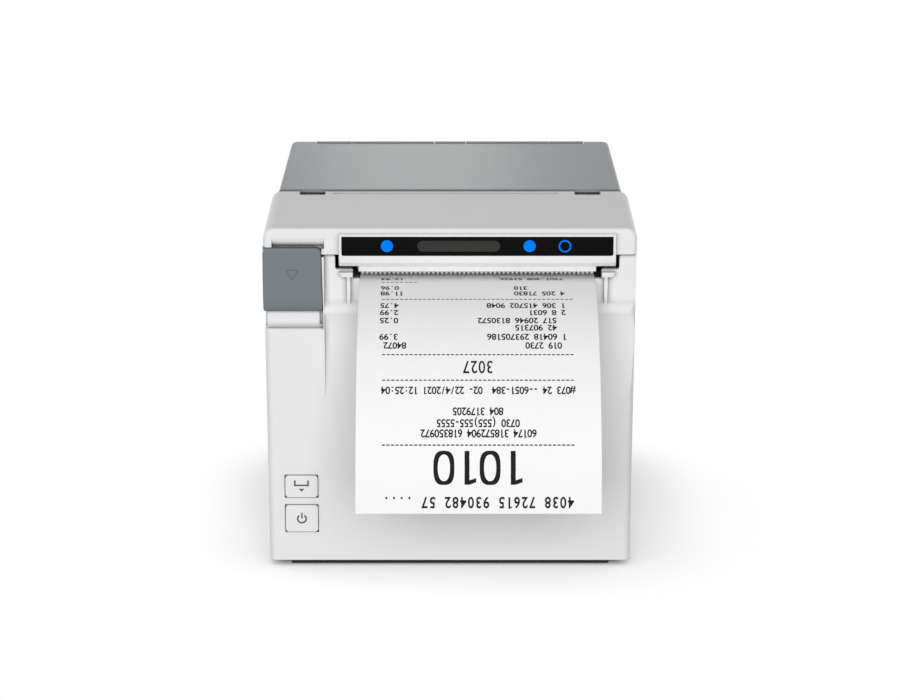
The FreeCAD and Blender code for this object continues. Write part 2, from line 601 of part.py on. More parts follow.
    # Screw bosses on the front wall, and the posts of the button board
    for side in (-1, 1):
        boss = f"({side} * {FRONT_BOSS})"
        add(body, "XY", [box_loop((f"{boss} - 3", f"{boss} + 3"), ("shell_wall - 0.5", "17"))],
            (BASE_TOP, "20"))
        remove(body, "XY", [(boss, "foot_inset + foot_depth + 4.1", "1.4 + fixed_gap")], (BASE_TOP, "17"))
    for level in ("power_level + 1", "feed_level + feed_height + 3"):
        add(body, "XZ", [(f"button_inset - {HALF} + button_width + 2.6", level, "1.3")],
            ("shell_wall - 0.5", "shell_wall + 7.7"))
    piece("front_case", body)


def rear_case():
    body = new_body("rear_case_body")
    start = "(front_depth - 6)"
    add(body, "XZ", [box_loop((f"-{GREY_HALF}", GREY_HALF), ("foot_height", SIDE_TOP))],
        (start, "case_depth"))
    soften(body, "rear_radius", "z", [{"x": GREY_HALF, "y": "case_depth"},
                                      {"x": f"-{GREY_HALF}", "y": "case_depth"}])
    inner = f"({GREY_HALF} - shell_wall)"
    remove(body, "XZ", [box_loop((f"-{inner}", inner), ("foot_height - 1", f"{SIDE_TOP} + 1"))],
           (f"{start} - 1", REAR_WALL))
    # The rear wall rises to the hinge knuckles
    hinge_half = "(hinge_width / 2)"
    add(body, "XZ", [box_loop((f"-{hinge_half}", hinge_half),
                              (f"{SIDE_TOP} - 1", f"{HINGE_LEVEL} - knuckle_radius - part_gap"))],
        (REAR_WALL, "case_depth"))
    for left, right in ((f"-{hinge_half}", f"knuckle_length - {hinge_half}"),
                        ("-middle_knuckle / 2", "middle_knuckle / 2"),
                        (f"{hinge_half} - knuckle_length", hinge_half)):
        add(body, "YZ", [(HINGE_BACK, HINGE_LEVEL, "knuckle_radius")], (left, right))
        add(body, "XZ", [box_loop((left, right), (f"{HINGE_LEVEL} - knuckle_radius - 1", HINGE_LEVEL))],
            (REAR_WALL, "case_depth"))
    remove(body, "YZ", [(HINGE_BACK, HINGE_LEVEL, "hinge_pin_radius + fixed_gap")],
           (f"-{hinge_half} - 1", f"{hinge_half} + 1"))
    for label, left, right, height in sockets():
        remove(body, "XZ", [box_loop((f"{left} - part_gap", f"{right} + part_gap"),
                                     (f"{BOARD_TOP} - part_gap", f"{BOARD_TOP} + {height} + part_gap"))],
               (f"{REAR_WALL} - 1", "case_depth + 1"))
    for side in (-1, 1):
        boss = f"({side} * ({GREY_HALF} - 7.3))"
        add(body, "XY", [box_loop((f"{boss} - 3", f"{boss} + 3"),
                                  (f"{REAR_WALL} - 20", f"{REAR_WALL} + 0.5"))], (BASE_TOP, "20"))
        remove(body, "XY", [(boss, f"{REAR_WALL} - 15", "1.4 + fixed_gap")], (BASE_TOP, "17"))
    piece("rear_case", body)


# The sockets stand in a row on the main board: width and height of each, from the left
SOCKET_ROW = (
    ("power_inlet", "power_width", "11"),
    ("usb_socket", "usb_width", "11"),
    ("network_socket", "network_width", "13.5"),
    ("drawer_socket", "drawer_width", "13"),
)


def sockets():
    """Each socket's label, left and right sides, and height above the board."""
    left = "(paper_offset - board_width / 2 + socket_inset)"
    row = []
    for label, width, height in SOCKET_ROW:
        row.append((label, left, f"({left} + {width})", height))
        left = f"({left} + {width} + socket_space)"
    return row


def base_plate():
    half = f"({GREY_HALF} - shell_wall - slip_gap)"
    plate = slab((f"-{half}", half), ("shell_wall + slip_gap", f"{REAR_WALL} - slip_gap"),
                 ("foot_height", BASE_TOP))
    posts = [rod("z", spot, (f"{BASE_TOP} - 0.5", "board_level"), "2.5") for spot in BOARD_SPOTS]
    holes = []
    for across, back in BASE_SPOTS:
        holes.append(rod("z", (across, back), ("foot_height - 1", f"{BASE_TOP} + 1"), "1.6"))
        holes.append(rod("z", (across, back), ("foot_height - 1", "foot_height + 1.4"), "3.2"))
    for spot in BOARD_SPOTS:
        holes.append(rod("z", spot, (f"{BASE_TOP} - 0.2", "board_level + 1"), "1.2 + fixed_gap"))
    for low, high in FOOT_SPANS:
        holes.append(slab(("-foot_width / 2 - slip_gap", "foot_width / 2 + slip_gap"),
                          (f"{low} - slip_gap", f"{high} + slip_gap"),
                          ("foot_height - 1", "foot_height + foot_sink")))
    piece("base_plate", cut(fuse([plate] + posts), holes))
    feet = [slab(("-foot_width / 2", "foot_width / 2"), span,
                 ("0", "foot_height + foot_sink")) for span in FOOT_SPANS]
    piece("rubber_feet", group(feet))


REAR_FOOT = f"({REAR_WALL} - 2.9)"
FOOT_SPANS = (("foot_inset", "foot_inset + foot_depth"), (f"{REAR_FOOT} - foot_depth", REAR_FOOT))
FRONT_BOSS = f"({HALF} - 37.5)"
BASE_SPOTS = [(f"{side} * {FRONT_BOSS}", "foot_inset + foot_depth + 4.1") for side in (-1, 1)]
BASE_SPOTS += [(f"{side} * ({GREY_HALF} - 7.3)", f"{REAR_WALL} - 15") for side in (-1, 1)]
BOARD_LEFT = "(paper_offset - board_width / 2)"
BOARD_RIGHT = "(paper_offset + board_width / 2)"
BOARD_FRONT = "(roll_back - board_front)"
BOARD_REAR = f"({REAR_WALL} - board_inset)"
BOARD_SPOTS = [(across, back) for across in (f"{BOARD_LEFT} + board_spot", f"{BOARD_RIGHT} - board_spot")
               for back in (f"{BOARD_FRONT} + board_spot", f"{BOARD_REAR} - rear_spot")]


def roll_cover():
    body = new_body("roll_cover_body")
    hinge_clear = "(hinge_width / 2 + part_gap)"
    edge = f"({HINGE_BACK} - knuckle_radius - 0.5)"
    add(body, "XZ", [box_loop((f"-{GREY_HALF}", GREY_HALF), (SKIRT_LOW, "top_height"))],
        (LID_FRONT, "case_depth"))
    soften(body, "rear_radius", "z", [{"x": GREY_HALF, "y": "case_depth"},
                                      {"x": f"-{GREY_HALF}", "y": "case_depth"}])
    soften(body, "crest_radius", "y", [{"x": GREY_HALF, "z": "top_height"},
                                       {"x": f"-{GREY_HALF}", "z": "top_height"}])
    inner = f"({GREY_HALF} - shell_wall)"
    remove(body, "XZ", [box_loop((f"-{inner}", inner), (f"{SKIRT_LOW} - 1", "top_height - 2.4"))],
           (f"{LID_FRONT} - 1", REAR_WALL))
    remove(body, "XZ", [box_loop((f"-{hinge_clear}", hinge_clear), (f"{SKIRT_LOW} - 1", "top_height + 1"))],
           (edge, "case_depth + 1"))
    # Cover knuckles between those of the case
    for side in (-1, 1):
        spans = sorted((f"{side} * (middle_knuckle / 2 + knuckle_gap)",
                        f"{side} * (hinge_width / 2 - knuckle_length - knuckle_gap)"), key=value)
        add(body, "YZ", [(HINGE_BACK, HINGE_LEVEL, "knuckle_radius")], tuple(spans))
        add(body, "XZ", [box_loop(tuple(spans), ("top_height - 2.4", "top_height - hinge_groove"))],
            (f"{edge} - 1", HINGE_BACK))
    remove(body, "YZ", [(HINGE_BACK, HINGE_LEVEL, "hinge_pin_radius + running_gap")],
           (f"-{hinge_clear}", hinge_clear))
    # The inner plate reaches forward under the bezel cover and carries the print head
    add(body, "XZ", [box_loop((f"-{HALF} + 6.5", f"{HALF} - 6.5"), (CARRIER_LOW, CARRIER_TOP))],
        ("8", f"{LID_FRONT} + 2.4"))
    add(body, "XZ", [box_loop((f"-{HALF} + 6.5", f"{HALF} - 6.5"), (CARRIER_LOW, "top_height"))],
        (LID_FRONT, f"{LID_FRONT} + 2.4"))
    # Openings under the snap notches of the bezel cover
    for side in (-1, 1):
        span = (f"{side} * notch_side - notch_width / 2", f"{side} * notch_side + notch_width / 2")
        remove(body, "XZ", [box_loop(span, (f"{CARRIER_LOW} - 1", "top_height - 1.2"))],
               (f"{LID_FRONT} - notch_depth", f"{LID_FRONT} + 3"))
    piece("roll_cover", body)


SCOOP_DEPTH = "(lever_thick - lever_proud + lever_gap)"
SCOOP_BEND = f"(({SCOOP_DEPTH} ^ 2 + scoop_height ^ 2) / (2 * {SCOOP_DEPTH}))"


def bezel_cover():
    body = new_body("bezel_cover_body")
    rear = "(front_depth + cover_step)"
    brink = "(top_height - cover_fall)"
    add(body, "YZ", [[("0", COVER_LOW), (rear, COVER_LOW), (rear, "top_height"), ("0", brink)]],
        (f"-{HALF}", HALF))
    soften(body, "shoulder_radius", "y", [{"x": HALF, "z": "top_height - cover_fall / 2"},
                                          {"x": f"-{HALF}", "z": "top_height - cover_fall / 2"}],
           lean="cover_fall + 0.5")
    soften(body, "rear_radius", "z", [{"x": HALF, "y": rear}, {"x": f"-{HALF}", "y": rear}])
    soften(body, "crest_radius", "x", [{"y": "0", "z": brink}])
    scoop = SCOOP_DEPTH
    hollow_front = f"({scoop} + shell_wall)"
    under = "(top_height - shell_wall)"
    remove(body, "YZ", [[(hollow_front, f"{COVER_LOW} - 1"), (hollow_front, f"{under} - cover_fall"),
                         ("front_depth - 1.6", under),
                         ("front_depth - 1.6", f"{CARRIER_TOP} + 0.4"),
                         (f"{rear} + 1", f"{CARRIER_TOP} + 0.4"),
                         (f"{rear} + 1", f"{COVER_LOW} - 1")]],
           (f"shell_wall - {HALF}", f"{HALF} - shell_wall"))
    # Lip with the window frame, and the narrower nose that holds the tear bar
    lip_low, nose_low = f"({PAPER} + lip_clear)", f"({PAPER} + nose_clear)"
    frame_top = "(top_height - window_drop + window_height / 2 + frame_rise)"
    frame_low = "(top_height - window_drop - window_height / 2 - frame_sill)"
    lip_span = ("paper_offset - lip_width / 2", "paper_offset + lip_width / 2")
    add(body, "YZ", [[("-lip_proud", frame_low), ("0.25 - lip_proud", f"{frame_low} - 1.6"),
                      ("1.35 - lip_proud", lip_low),
                      (hollow_front, lip_low), (hollow_front, frame_top), ("0", f"{frame_top} + 0.3"),
                      ("-lip_proud", frame_top)]], lip_span)
    add(body, "YZ", [[("0.4", f"{lip_low} + 0.5"), ("0.9", nose_low), (hollow_front, nose_low),
                      (hollow_front, f"{lip_low} + 0.5")]],
        ("paper_offset - nose_width / 2", "paper_offset + nose_width / 2"))
    # Seat of the window, and the opening behind it for the lights
    window = window_loop("0")
    remove(body, "XZ", [window], ("-lip_proud - 1", "window_thick + 0.3 - lip_proud"))
    remove(body, "XZ", [box_loop(("paper_offset - window_width / 2 + 2",
                                  "paper_offset + window_width / 2 - 2"),
                                 ("top_height - window_drop - window_height / 2 + 1",
                                  "top_height - window_drop + window_height / 2 - 1"))],
           ("window_thick - lip_proud", f"{hollow_front} + 0.5"))
    # Slot for the tear bar
    remove(body, "XZ", [box_loop(("paper_offset - tear_width / 2 - slip_gap",
                                  "paper_offset + tear_width / 2 + slip_gap"),
                                 (f"{nose_low} - 1", f"{nose_low} + 1.4"))],
           ("1.4 - slip_gap", "1.4 + tear_thick + slip_gap"))
    # Seat of the lever with the scoop above it, and the step for the lever's flank
    seat_top = f"({LEVER_TOP} + lever_seam)"
    remove(body, "XZ", [box_loop((f"-{HALF} - 1", f"{POCKET_RIGHT} - 0.9 * lever_slant"),
                                 (f"{COVER_LOW} - 1", seat_top))],
           ("-2", scoop))
    remove(body, "YZ", [[("-2", f"{seat_top} - 0.5"), (scoop, f"{seat_top} - 0.5"),
                         (scoop, seat_top, SCOOP_BEND, "right"),
                         ("0", f"{seat_top} + scoop_height"), ("-2", f"{seat_top} + scoop_height")]],
           (f"{LEVER_LEFT} + 3.2", f"{POCKET_RIGHT} + 0.5"))
    remove(body, "XZ", [box_loop((f"-{HALF} - 1", f"0.8 - {HALF}"), (f"{COVER_LOW} - 1", seat_top))],
           ("-1", "flank_depth + 2"))
    # Groove across the top, and the notches that show the snaps
    groove_back = "(front_depth - 4.9)"
    remove(body, "YZ", [box_loop((groove_back, f"{groove_back} + groove_width"),
                                 ("top_height - groove_depth", "top_height + 1"))],
           ("paper_offset - 50.9", "paper_offset + 28.7"))
    for side in (-1, 1):
        middle = f"({side} * notch_side)"
        remove(body, "XZ", [box_loop((f"{middle} - notch_width / 2", f"{middle} + notch_width / 2"),
                                     (f"{CARRIER_TOP} - 1", "top_height + 1"))],
               (f"{rear} - notch_depth", f"{rear} + 1"))
        add(body, "XZ", [[(f"{middle} - 3", "top_height - 2.6"), (f"{middle} + 3", "top_height - 2.6"),
                          (f"{middle} + 1.8", "top_height - 1.2"),
                          (f"{middle} - 1.8", "top_height - 1.2")]],
            (f"{rear} - notch_depth - 1.5", f"{rear} - notch_depth + 2.4"))
    piece("bezel_cover", body)


def window_loop(play):
    """The outline of the status window, made smaller all round by some play."""
    left, right = f"(paper_offset - window_width / 2 + {play})", f"(paper_offset + window_width / 2 - {play})"
    middle = "(top_height - window_drop)"
    low, high = f"({middle} - window_height / 2 + {play})", f"({middle} + window_height / 2 - {play})"
    return [(left, f"{low} + window_corner", "window_corner", "left"), (f"{left} + window_corner", low),
            (f"{right} - window_corner", low, "window_corner", "left"), (right, f"{low} + window_corner"),
            (right, high), (left, high)]


def led_window():
    front, back = "(0.3 - lip_proud)", "(0.3 + window_thick - lip_proud)"
    middle = "(top_height - window_drop)"
    spots = ("(paper_offset - 30.7)", "(paper_offset + 17.7)")
    pane = prism("XZ", [window_loop("0.05")], (front, back))
    holes = [rod("y", (spot, middle), (f"{front} - 1", f"{back} + 1"), "light_radius + fixed_gap")
             for spot in spots]
    piece("led_window", cut(pane, holes))
    piece("status_lights", group([rod("y", (spot, middle), (front, back),
                                      "light_radius") for spot in spots]))
    wall = "(lever_thick - lever_proud + lever_gap + shell_wall)"
    board = slab(("paper_offset - window_width / 2 + 1", "paper_offset + window_width / 2 - 1"),
                 (f"{wall} + 0.1", f"{wall} + 1.3"), (f"{middle} - 2.6", f"{middle} + 2.6"))
    lamps = [slab((f"{spot} - 1.5", f"{spot} + 1.5"), (f"{wall} - 1.2", f"{wall} + 0.3"),
                  (f"{middle} - 1.2", f"{middle} + 1.2"))
             for spot in spots + ("(paper_offset + 29.7)",)]
    piece("led_board", fuse([board] + lamps))


def tear_bar():
    """A flat steel strip whose lower edge is a row of pointed teeth."""
    tip, root = value(f"{PAPER} + tear_clear"), value(f"{PAPER} + tear_clear + tooth_depth")
    top, pitch = value(f"{PAPER} + nose_clear + 1.3"), value("tooth_pitch")
    count = int(value("tear_width") // pitch)
    left = value("paper_offset") - count * pitch / 2
    outline = [(left, top), (left, root)]
    for index in range(count):
        outline.append((left + (index + 0.5) * pitch, tip))
        outline.append((left + (index + 1) * pitch, root))
    outline.append((left + count * pitch, top))
    front = value("1.4")
    points = [FreeCAD.Vector(across, front, up) for across, up in outline]
    face = Part.Face(Part.makePolygon(points + points[:1]))
    shaped("tear_bar", face.extrude(FreeCAD.Vector(0, value("tear_thick"), 0)))


# Open lever and latch

def open_lever():
    body = new_body("open_lever_body")
    front, back = "(-lever_proud)", "(lever_thick - lever_proud)"
    add(body, "YZ", [[(front, f"{LEVER_LOW} + 4.2"), (front, LEVER_TOP), (back, LEVER_TOP),
                      (back, LEVER_LOW),
                      (f"{front} + 1.9", LEVER_LOW, "5.6", "right")]], (LEVER_LEFT, LEVER_RIGHT))
    remove(body, "XZ", [[(f"{LEVER_RIGHT} - lever_slant", f"{LEVER_TOP} + 1"),
                         (f"{LEVER_RIGHT} + 1", f"{LEVER_TOP} + 1"),
                         (f"{LEVER_RIGHT} + 1", LEVER_LOW), (LEVER_RIGHT, LEVER_LOW)]],
           (f"{front} - 1", f"{back} + 1"))
    soften(body, "lever_corner", "y", [{"x": f"{LEVER_RIGHT} - lever_slant", "z": LEVER_TOP},
                                       {"x": LEVER_LEFT, "z": LEVER_TOP},
                                       {"x": LEVER_LEFT, "z": LEVER_LOW},
                                       {"x": LEVER_RIGHT, "z": LEVER_LOW}])
    soften(body, "0.7", "x", [{"y": front, "z": LEVER_TOP}])
    # Thin flank round the corner of the case
    add(body, "YZ", [box_loop((f"{back} - 0.5", "flank_depth"), (f"{LEVER_LOW} + 2.5", LEVER_TOP))],
        (LEVER_LEFT, f"{LEVER_LEFT} + 0.8"))
    # Arm back to the shaft
    arm = ("(-case_width / 2 + 5.5)", "(-case_width / 2 + 10.5)")
    add(body, "YZ", [[(f"{back} - 0.5", f"{LEVER_LOW} + 6.3"), ("latch_back", f"{LATCH_LEVEL} - 4"),
                      ("latch_back", f"{LATCH_LEVEL} + 4"),
                      (f"{back} - 0.5", f"{LEVER_LOW} + 14")]], arm)
    add(body, "YZ", [("latch_back", LATCH_LEVEL, "4.5")], arm)
    remove(body, "YZ", [("latch_back", LATCH_LEVEL, "latch_shaft_radius + fixed_gap")],
           (f"{arm[0]} - 1", f"{arm[1]} + 1"))
    # Pressed outline of a triangle that points down
    middle, top = f"({LEVER_LEFT} + lever_width / 2)", f"({LEVER_TOP} - mark_drop)"
    half, inner = "(mark_width / 2)", "(mark_width / 2 - 0.6)"
    remove(body, "XZ", [[(f"{middle} - {half}", top), (f"{middle} + {half}", top),
                         (middle, f"{top} - mark_height")],
                        [(f"{middle} - {inner}", f"{top} - 0.35"), (f"{middle} + {inner}", f"{top} - 0.35"),
                         (middle, f"{top} - mark_height + 0.65")]],
           (f"{front} - 1", f"{front} + 0.25"))
    piece("open_lever", body)


HOOK_SPANS = ((f"{FRAME_LEFT} - 0.4 - hook_thick", f"{FRAME_LEFT} - 0.4"),
              (f"{FRAME_RIGHT} + 0.4", f"{FRAME_RIGHT} + 0.4 + hook_thick"))
PIN_BACK = "(latch_back + 1.5)"
PIN_LEVEL = f"({LATCH_LEVEL} + hook_reach - 0.2 - latch_pin_radius)"


def latch():
    shaft = rod("x", ("latch_back", LATCH_LEVEL), (f"4.5 - {HALF}", f"{FRAME_RIGHT} + 0.4 + hook_thick"),
                "latch_shaft_radius")
    piece("latch_shaft", shaft)
    hooks = []
    throat = f"({PIN_BACK} - latch_pin_radius - 3 * part_gap - hook_nose)"
    nose = f"({LATCH_LEVEL} + hook_reach)"
    for span in HOOK_SPANS:
        plate = prism("YZ", [[(f"{throat} - 2.6", LATCH_LEVEL), (f"{throat} - 2.6", f"{nose} + 1.4"),
                              (f"{throat} - 1.2", f"{nose} + 2.4"),
                              (f"{throat} + hook_nose", f"{nose} + 1"),
                              (f"{throat} + hook_nose", nose), (throat, nose), (throat, LATCH_LEVEL)]],
                      span)
        hub = rod("x", ("latch_back", LATCH_LEVEL), span, "4")
        bore = rod("x", ("latch_back", LATCH_LEVEL), (f"{span[0]} - 1", f"{span[1]} + 1"),
                   "latch_shaft_radius + fixed_gap")
        hooks.append(cut(fuse([plate, hub]), [bore]))
    piece("latch_hooks", group(hooks))
    coil("lever_spring", [(f"11.1 - {HALF}", "latch_back", LATCH_LEVEL)], "x", "latch_shaft_radius + 0.6",
         5.0, 1.0)
    pins = [rod("x", (PIN_BACK, PIN_LEVEL), (HOOK_SPANS[0][0], f"{BRACKET_LEFT} + bracket_thick"),
                "latch_pin_radius"),
            rod("x", (PIN_BACK, PIN_LEVEL), (f"{BRACKET_RIGHT} - bracket_thick", HOOK_SPANS[1][1]),
                "latch_pin_radius")]
    piece("latch_pins", group(pins))


WIRE_ANGLES = [math.radians(45 * side + 22.5) for side in range(8)]


def coil(label, starts, axis, radius, length, pitch):
    """Springs of fine wire with eight flats, each wound from its start along an axis."""
    wire = value("spring_wire") / 2
    mean = value(radius)
    springs = []
    for start in starts:
        path = Part.Wire(Part.makeHelix(pitch, length, mean).Edges)
        section = [FreeCAD.Vector(mean + wire * math.cos(angle), 0,
                                  wire * math.sin(angle)) for angle in WIRE_ANGLES]
        spring = path.makePipeShell([Part.makePolygon(section + section[:1])], True, True)
        place = FreeCAD.Vector(*[value(text) for text in start])
        springs.append(spring.transformed(FreeCAD.Placement(place, SHAFT_TURNS[axis]).toMatrix(), True))
    shaped(label, Part.Compound(springs) if len(springs) > 1 else springs[0])


# Buttons

def button(label, level, height):
    body = new_body(label + "_body")
    left = f"(button_inset - {HALF})"
    span = (left, f"{left} + button_width")
    add(body, "XZ", [box_loop(span, (level, f"{level} + {height}"))], ("-button_proud", "shell_wall + 0.4"))
    soften(body, "1.2", "y", [{"x": side, "z": edge} for side in span for edge in (level,
                                                                                   f"{level} + {height}")])
    add(body, "XZ", [box_loop((f"{span[0]} - 0.8", f"{span[1]} + 0.8"),
                              (f"{level} - 0.6", f"{level} + {height} + 0.6"))],
        ("shell_wall + 0.4", "shell_wall + 1.3"))
    add(body, "XZ", [(f"{left} + button_width / 2", f"{level} + {height} / 2", "1.5")],
        ("shell_wall + 1.2", "shell_wall + 3.9"))
    piece(label, body)


def button_board():
    left = f"(button_inset - {HALF})"
    front = "(shell_wall + 7.7)"
    board = slab((f"{left} - 4", f"{left} + button_width + 4.4"), (front, f"{front} + board_thick"),
                 ("power_level - 4", "feed_level + feed_height + 5"))
    piece("button_board", board)
    switches = []
    for level, height in (("feed_level", "feed_height"), ("power_level", "power_height")):
        across, up = f"({left} + button_width / 2)", f"({level} + {height} / 2)"
        block = slab((f"{across} - 3", f"{across} + 3"), ("shell_wall + 4.1", front),
                     (f"{up} - 3", f"{up} + 3"))
        bore = rod("y", (across, up), ("shell_wall + 3", "shell_wall + 4.1 + button_travel + 0.2"), "2")
        switches.append(cut(block, [bore]))
    piece("button_switches", group(switches))


# Paper drive

def gear_shape(teeth, module, width, bore, phase, centre, left):
    """A spur gear about an X axis, with involute flanks and a tooth centred on the phase angle."""
    pitch_radius = module * teeth / 2
    base_radius = pitch_radius * math.cos(math.radians(20))
    outer, root = pitch_radius + 0.8 * module, pitch_radius - 1.1 * module
    involute = math.tan(math.radians(20)) - math.radians(20)
    half_tooth = math.pi / (2 * teeth) - value("tooth_play") / (4 * pitch_radius) + involute
    start = max(base_radius, root)
    radii = [start + (outer - start) * step / 5 for step in range(6)]
    flank = [(root, half_tooth)] if root < start - 0.01 else []
    for radius in radii:
        roll = math.acos(base_radius / radius)
        flank.append((radius, half_tooth - (math.tan(roll) - roll)))
    outline = []
    for index in range(teeth):
        middle = phase + 2 * math.pi * index / teeth
        outline += [(radius, middle - turn) for radius, turn in flank]
        outline += [(radius, middle + turn) for radius, turn in reversed(flank)]
    points = [FreeCAD.Vector(left, centre[0] + radius * math.cos(angle),
                             centre[1] + radius * math.sin(angle))
              for radius, angle in outline]
    disc = Part.Face(Part.makePolygon(points + points[:1])).extrude(FreeCAD.Vector(width, 0, 0))
    hole = Part.makeCylinder(bore, width + 2, FreeCAD.Vector(left - 1, *centre), FreeCAD.Vector(1, 0, 0))
    return disc.cut(hole)


PLATEN_TEETH, SMALL_TEETH, LARGE_TEETH, PINION_TEETH = 24, 14, 30, 12
SMALL_SLOPE, LARGE_SLOPE = 126.3, 224.4


def reduction_axis():
    """The reduction gear's axis: one centre distance from the platen, at a fixed slope."""
    distance = value("gear_module") * (PLATEN_TEETH + SMALL_TEETH) / 2
    slope = math.radians(SMALL_SLOPE)
    return (value("platen_back") - distance * math.cos(slope),
            value(PLATEN_LEVEL) - distance * math.sin(slope))


def motor_axis():
    distance = value("gear_module") * (LARGE_TEETH + PINION_TEETH) / 2
    slope = math.radians(LARGE_SLOPE)
    back, up = reduction_axis()
    return (back + distance * math.cos(slope), up + distance * math.sin(slope))


def paper_drive():
    shaft_line = ("platen_back", PLATEN_LEVEL)
    shaft = rod("x", shaft_line, (f"{FRAME_LEFT} - 0.6", f"{GEARS_LEFT} + 2 * gear_width + 0.4"),
                "platen_shaft_radius")
    piece("platen_shaft", shaft)
    sleeve = ("paper_offset - paper_width / 2 - 0.6", "paper_offset + paper_width / 2 + 0.6")
    piece("platen_roller", tube("x", shaft_line, sleeve, "platen_radius",
                                "platen_shaft_radius + fixed_gap"))
    spans = ((f"{FRAME_LEFT} - 0.3", f"{FRAME_LEFT} + frame_plate + 0.8"),
             (f"{FRAME_RIGHT} - frame_plate - 0.8", f"{FRAME_RIGHT} + 0.3"))
    bearings = [tube("x", shaft_line, span, "platen_shaft_radius + bearing_wall",
                     "platen_shaft_radius + running_gap")
                for span in spans]
    piece("platen_bearings", group(bearings))
    module, width = value("gear_module"), value("gear_width")
    first, second = value(GEARS_LEFT), value(f"{GEARS_LEFT} + gear_width + 0.2")
    platen, reduction, motor = (value("platen_back"), value(PLATEN_LEVEL)), reduction_axis(), motor_axis()
    to_platen, to_motor = math.radians(SMALL_SLOPE), math.radians(LARGE_SLOPE)
    shaped("platen_gear", gear_shape(PLATEN_TEETH, module, width, value("platen_shaft_radius + fixed_gap"),
                                     to_platen + math.pi + math.pi / PLATEN_TEETH, platen, second))
    bore = value("gear_post_radius + running_gap")
    large = gear_shape(LARGE_TEETH, module, width, bore, to_motor, reduction, first)
    small = gear_shape(SMALL_TEETH, module, width, bore, to_platen, reduction, second)
    collar = Part.makeCylinder(3.5, value("0.2"), FreeCAD.Vector(first + width, *reduction),
                               FreeCAD.Vector(1, 0, 0))
    hole = Part.makeCylinder(bore, 9, FreeCAD.Vector(first - 1, *reduction), FreeCAD.Vector(1, 0, 0))
    shaped("reduction_gear", large.fuse([small, collar]).cut(hole).removeSplitter())
    post_start = value(f"{FRAME_RIGHT} - frame_plate")
    post_end = value(f"{GEARS_LEFT} + 2 * gear_width + 0.5")
    shaped("gear_post", Part.makeCylinder(value("gear_post_radius"), post_end - post_start,
                                          FreeCAD.Vector(post_start, *reduction), FreeCAD.Vector(1, 0, 0)))
    pinion = gear_shape(PINION_TEETH, module, width, 0.4, to_motor + math.pi + math.pi / PINION_TEETH,
                        motor, first)
    face = value(f"{FRAME_RIGHT} - frame_plate")
    spindle = Part.makeCylinder(value("motor_shaft_radius"), first + width - face + 4,
                                FreeCAD.Vector(face - 4, *motor), FreeCAD.Vector(1, 0, 0))
    shaped("motor_pinion", pinion.fuse(spindle).removeSplitter())
    can = Part.makeCylinder(value("feed_motor_radius"), value("feed_motor_length"),
                            FreeCAD.Vector(face - value("feed_motor_length"), *motor),
                            FreeCAD.Vector(1, 0, 0))
    bore_length = 5
    bore = Part.makeCylinder(value("motor_shaft_radius + running_gap"), bore_length,
                             FreeCAD.Vector(face - bore_length + 0.5, *motor), FreeCAD.Vector(1, 0, 0))
    shaped("feed_motor", can.cut(bore))


# Mechanism frame, cutter and guides

CUTTER_ACROSS = "(paper_offset - paper_width / 2 - cutter_side)"
CUTTER_LEVEL = "(top_height - paper_drop - cutter_drop)"
PINION_FRONT = "(blade_back - 0.4)"
CUTTER_FACE = "(frame_front + 0.8)"
CUTTER_TEETH = 12
FRAME_SPOTS = [(across, back) for across in (f"{FRAME_LEFT} + 8", f"{FRAME_RIGHT} - 8.6")
               for back in ("frame_front + 5.3", "frame_rear - 4")]


def print_frame():
    back = ("frame_front", "frame_rear")
    left = slab((FRAME_LEFT, f"{FRAME_LEFT} + frame_plate"), back, (DECK_TOP, PAPER))
    right = slab((f"{FRAME_RIGHT} - frame_plate", FRAME_RIGHT), back, (DECK_TOP, PAPER))
    cross = slab((FRAME_LEFT, FRAME_RIGHT), back, (DECK_TOP, CROSS_TOP))
    wing = slab((f"{CUTTER_ACROSS} - cutter_motor_radius", f"{FRAME_LEFT} + 0.5"),
                (CUTTER_FACE, f"{CUTTER_FACE} + frame_plate"),
                (f"{CUTTER_LEVEL} - cutter_motor_radius", f"{CUTTER_LEVEL} + cutter_motor_radius"))
    through = (f"{FRAME_LEFT} - 1", f"{FRAME_RIGHT} + 1")
    holes = [rod("x", ("platen_back", PLATEN_LEVEL), through,
                 "platen_shaft_radius + bearing_wall + fixed_gap"),
             rod("x", ("latch_back", LATCH_LEVEL), through, "latch_shaft_radius + running_gap"),
             rod("y", (CUTTER_ACROSS, CUTTER_LEVEL), (f"{CUTTER_FACE} - 1",
                                                      f"{CUTTER_FACE} + frame_plate + 1"),
                 "motor_shaft_radius + 0.6")]
    holes += [rod("z", spot, (f"{DECK_TOP} - 1", f"{CROSS_TOP} + 1"), "1.4") for spot in FRAME_SPOTS]
    carved = cut(fuse([left, right, cross, wing]), holes)
    plate = value("frame_plate")
    side = value(f"{FRAME_RIGHT} - frame_plate")
    bores = []
    for (along, up), radius in ((reduction_axis(), value("gear_post_radius + fixed_gap")),
                                (motor_axis(), value("motor_shaft_radius + 0.6"))):
        bore = doc.addObject("Part::Feature", "bore")
        bore.Shape = Part.makeCylinder(radius, plate + 2, FreeCAD.Vector(side - 1, along, up),
                                       FreeCAD.Vector(1, 0, 0))
        bores.append(bore)
    piece("print_frame", cut(carved, bores))


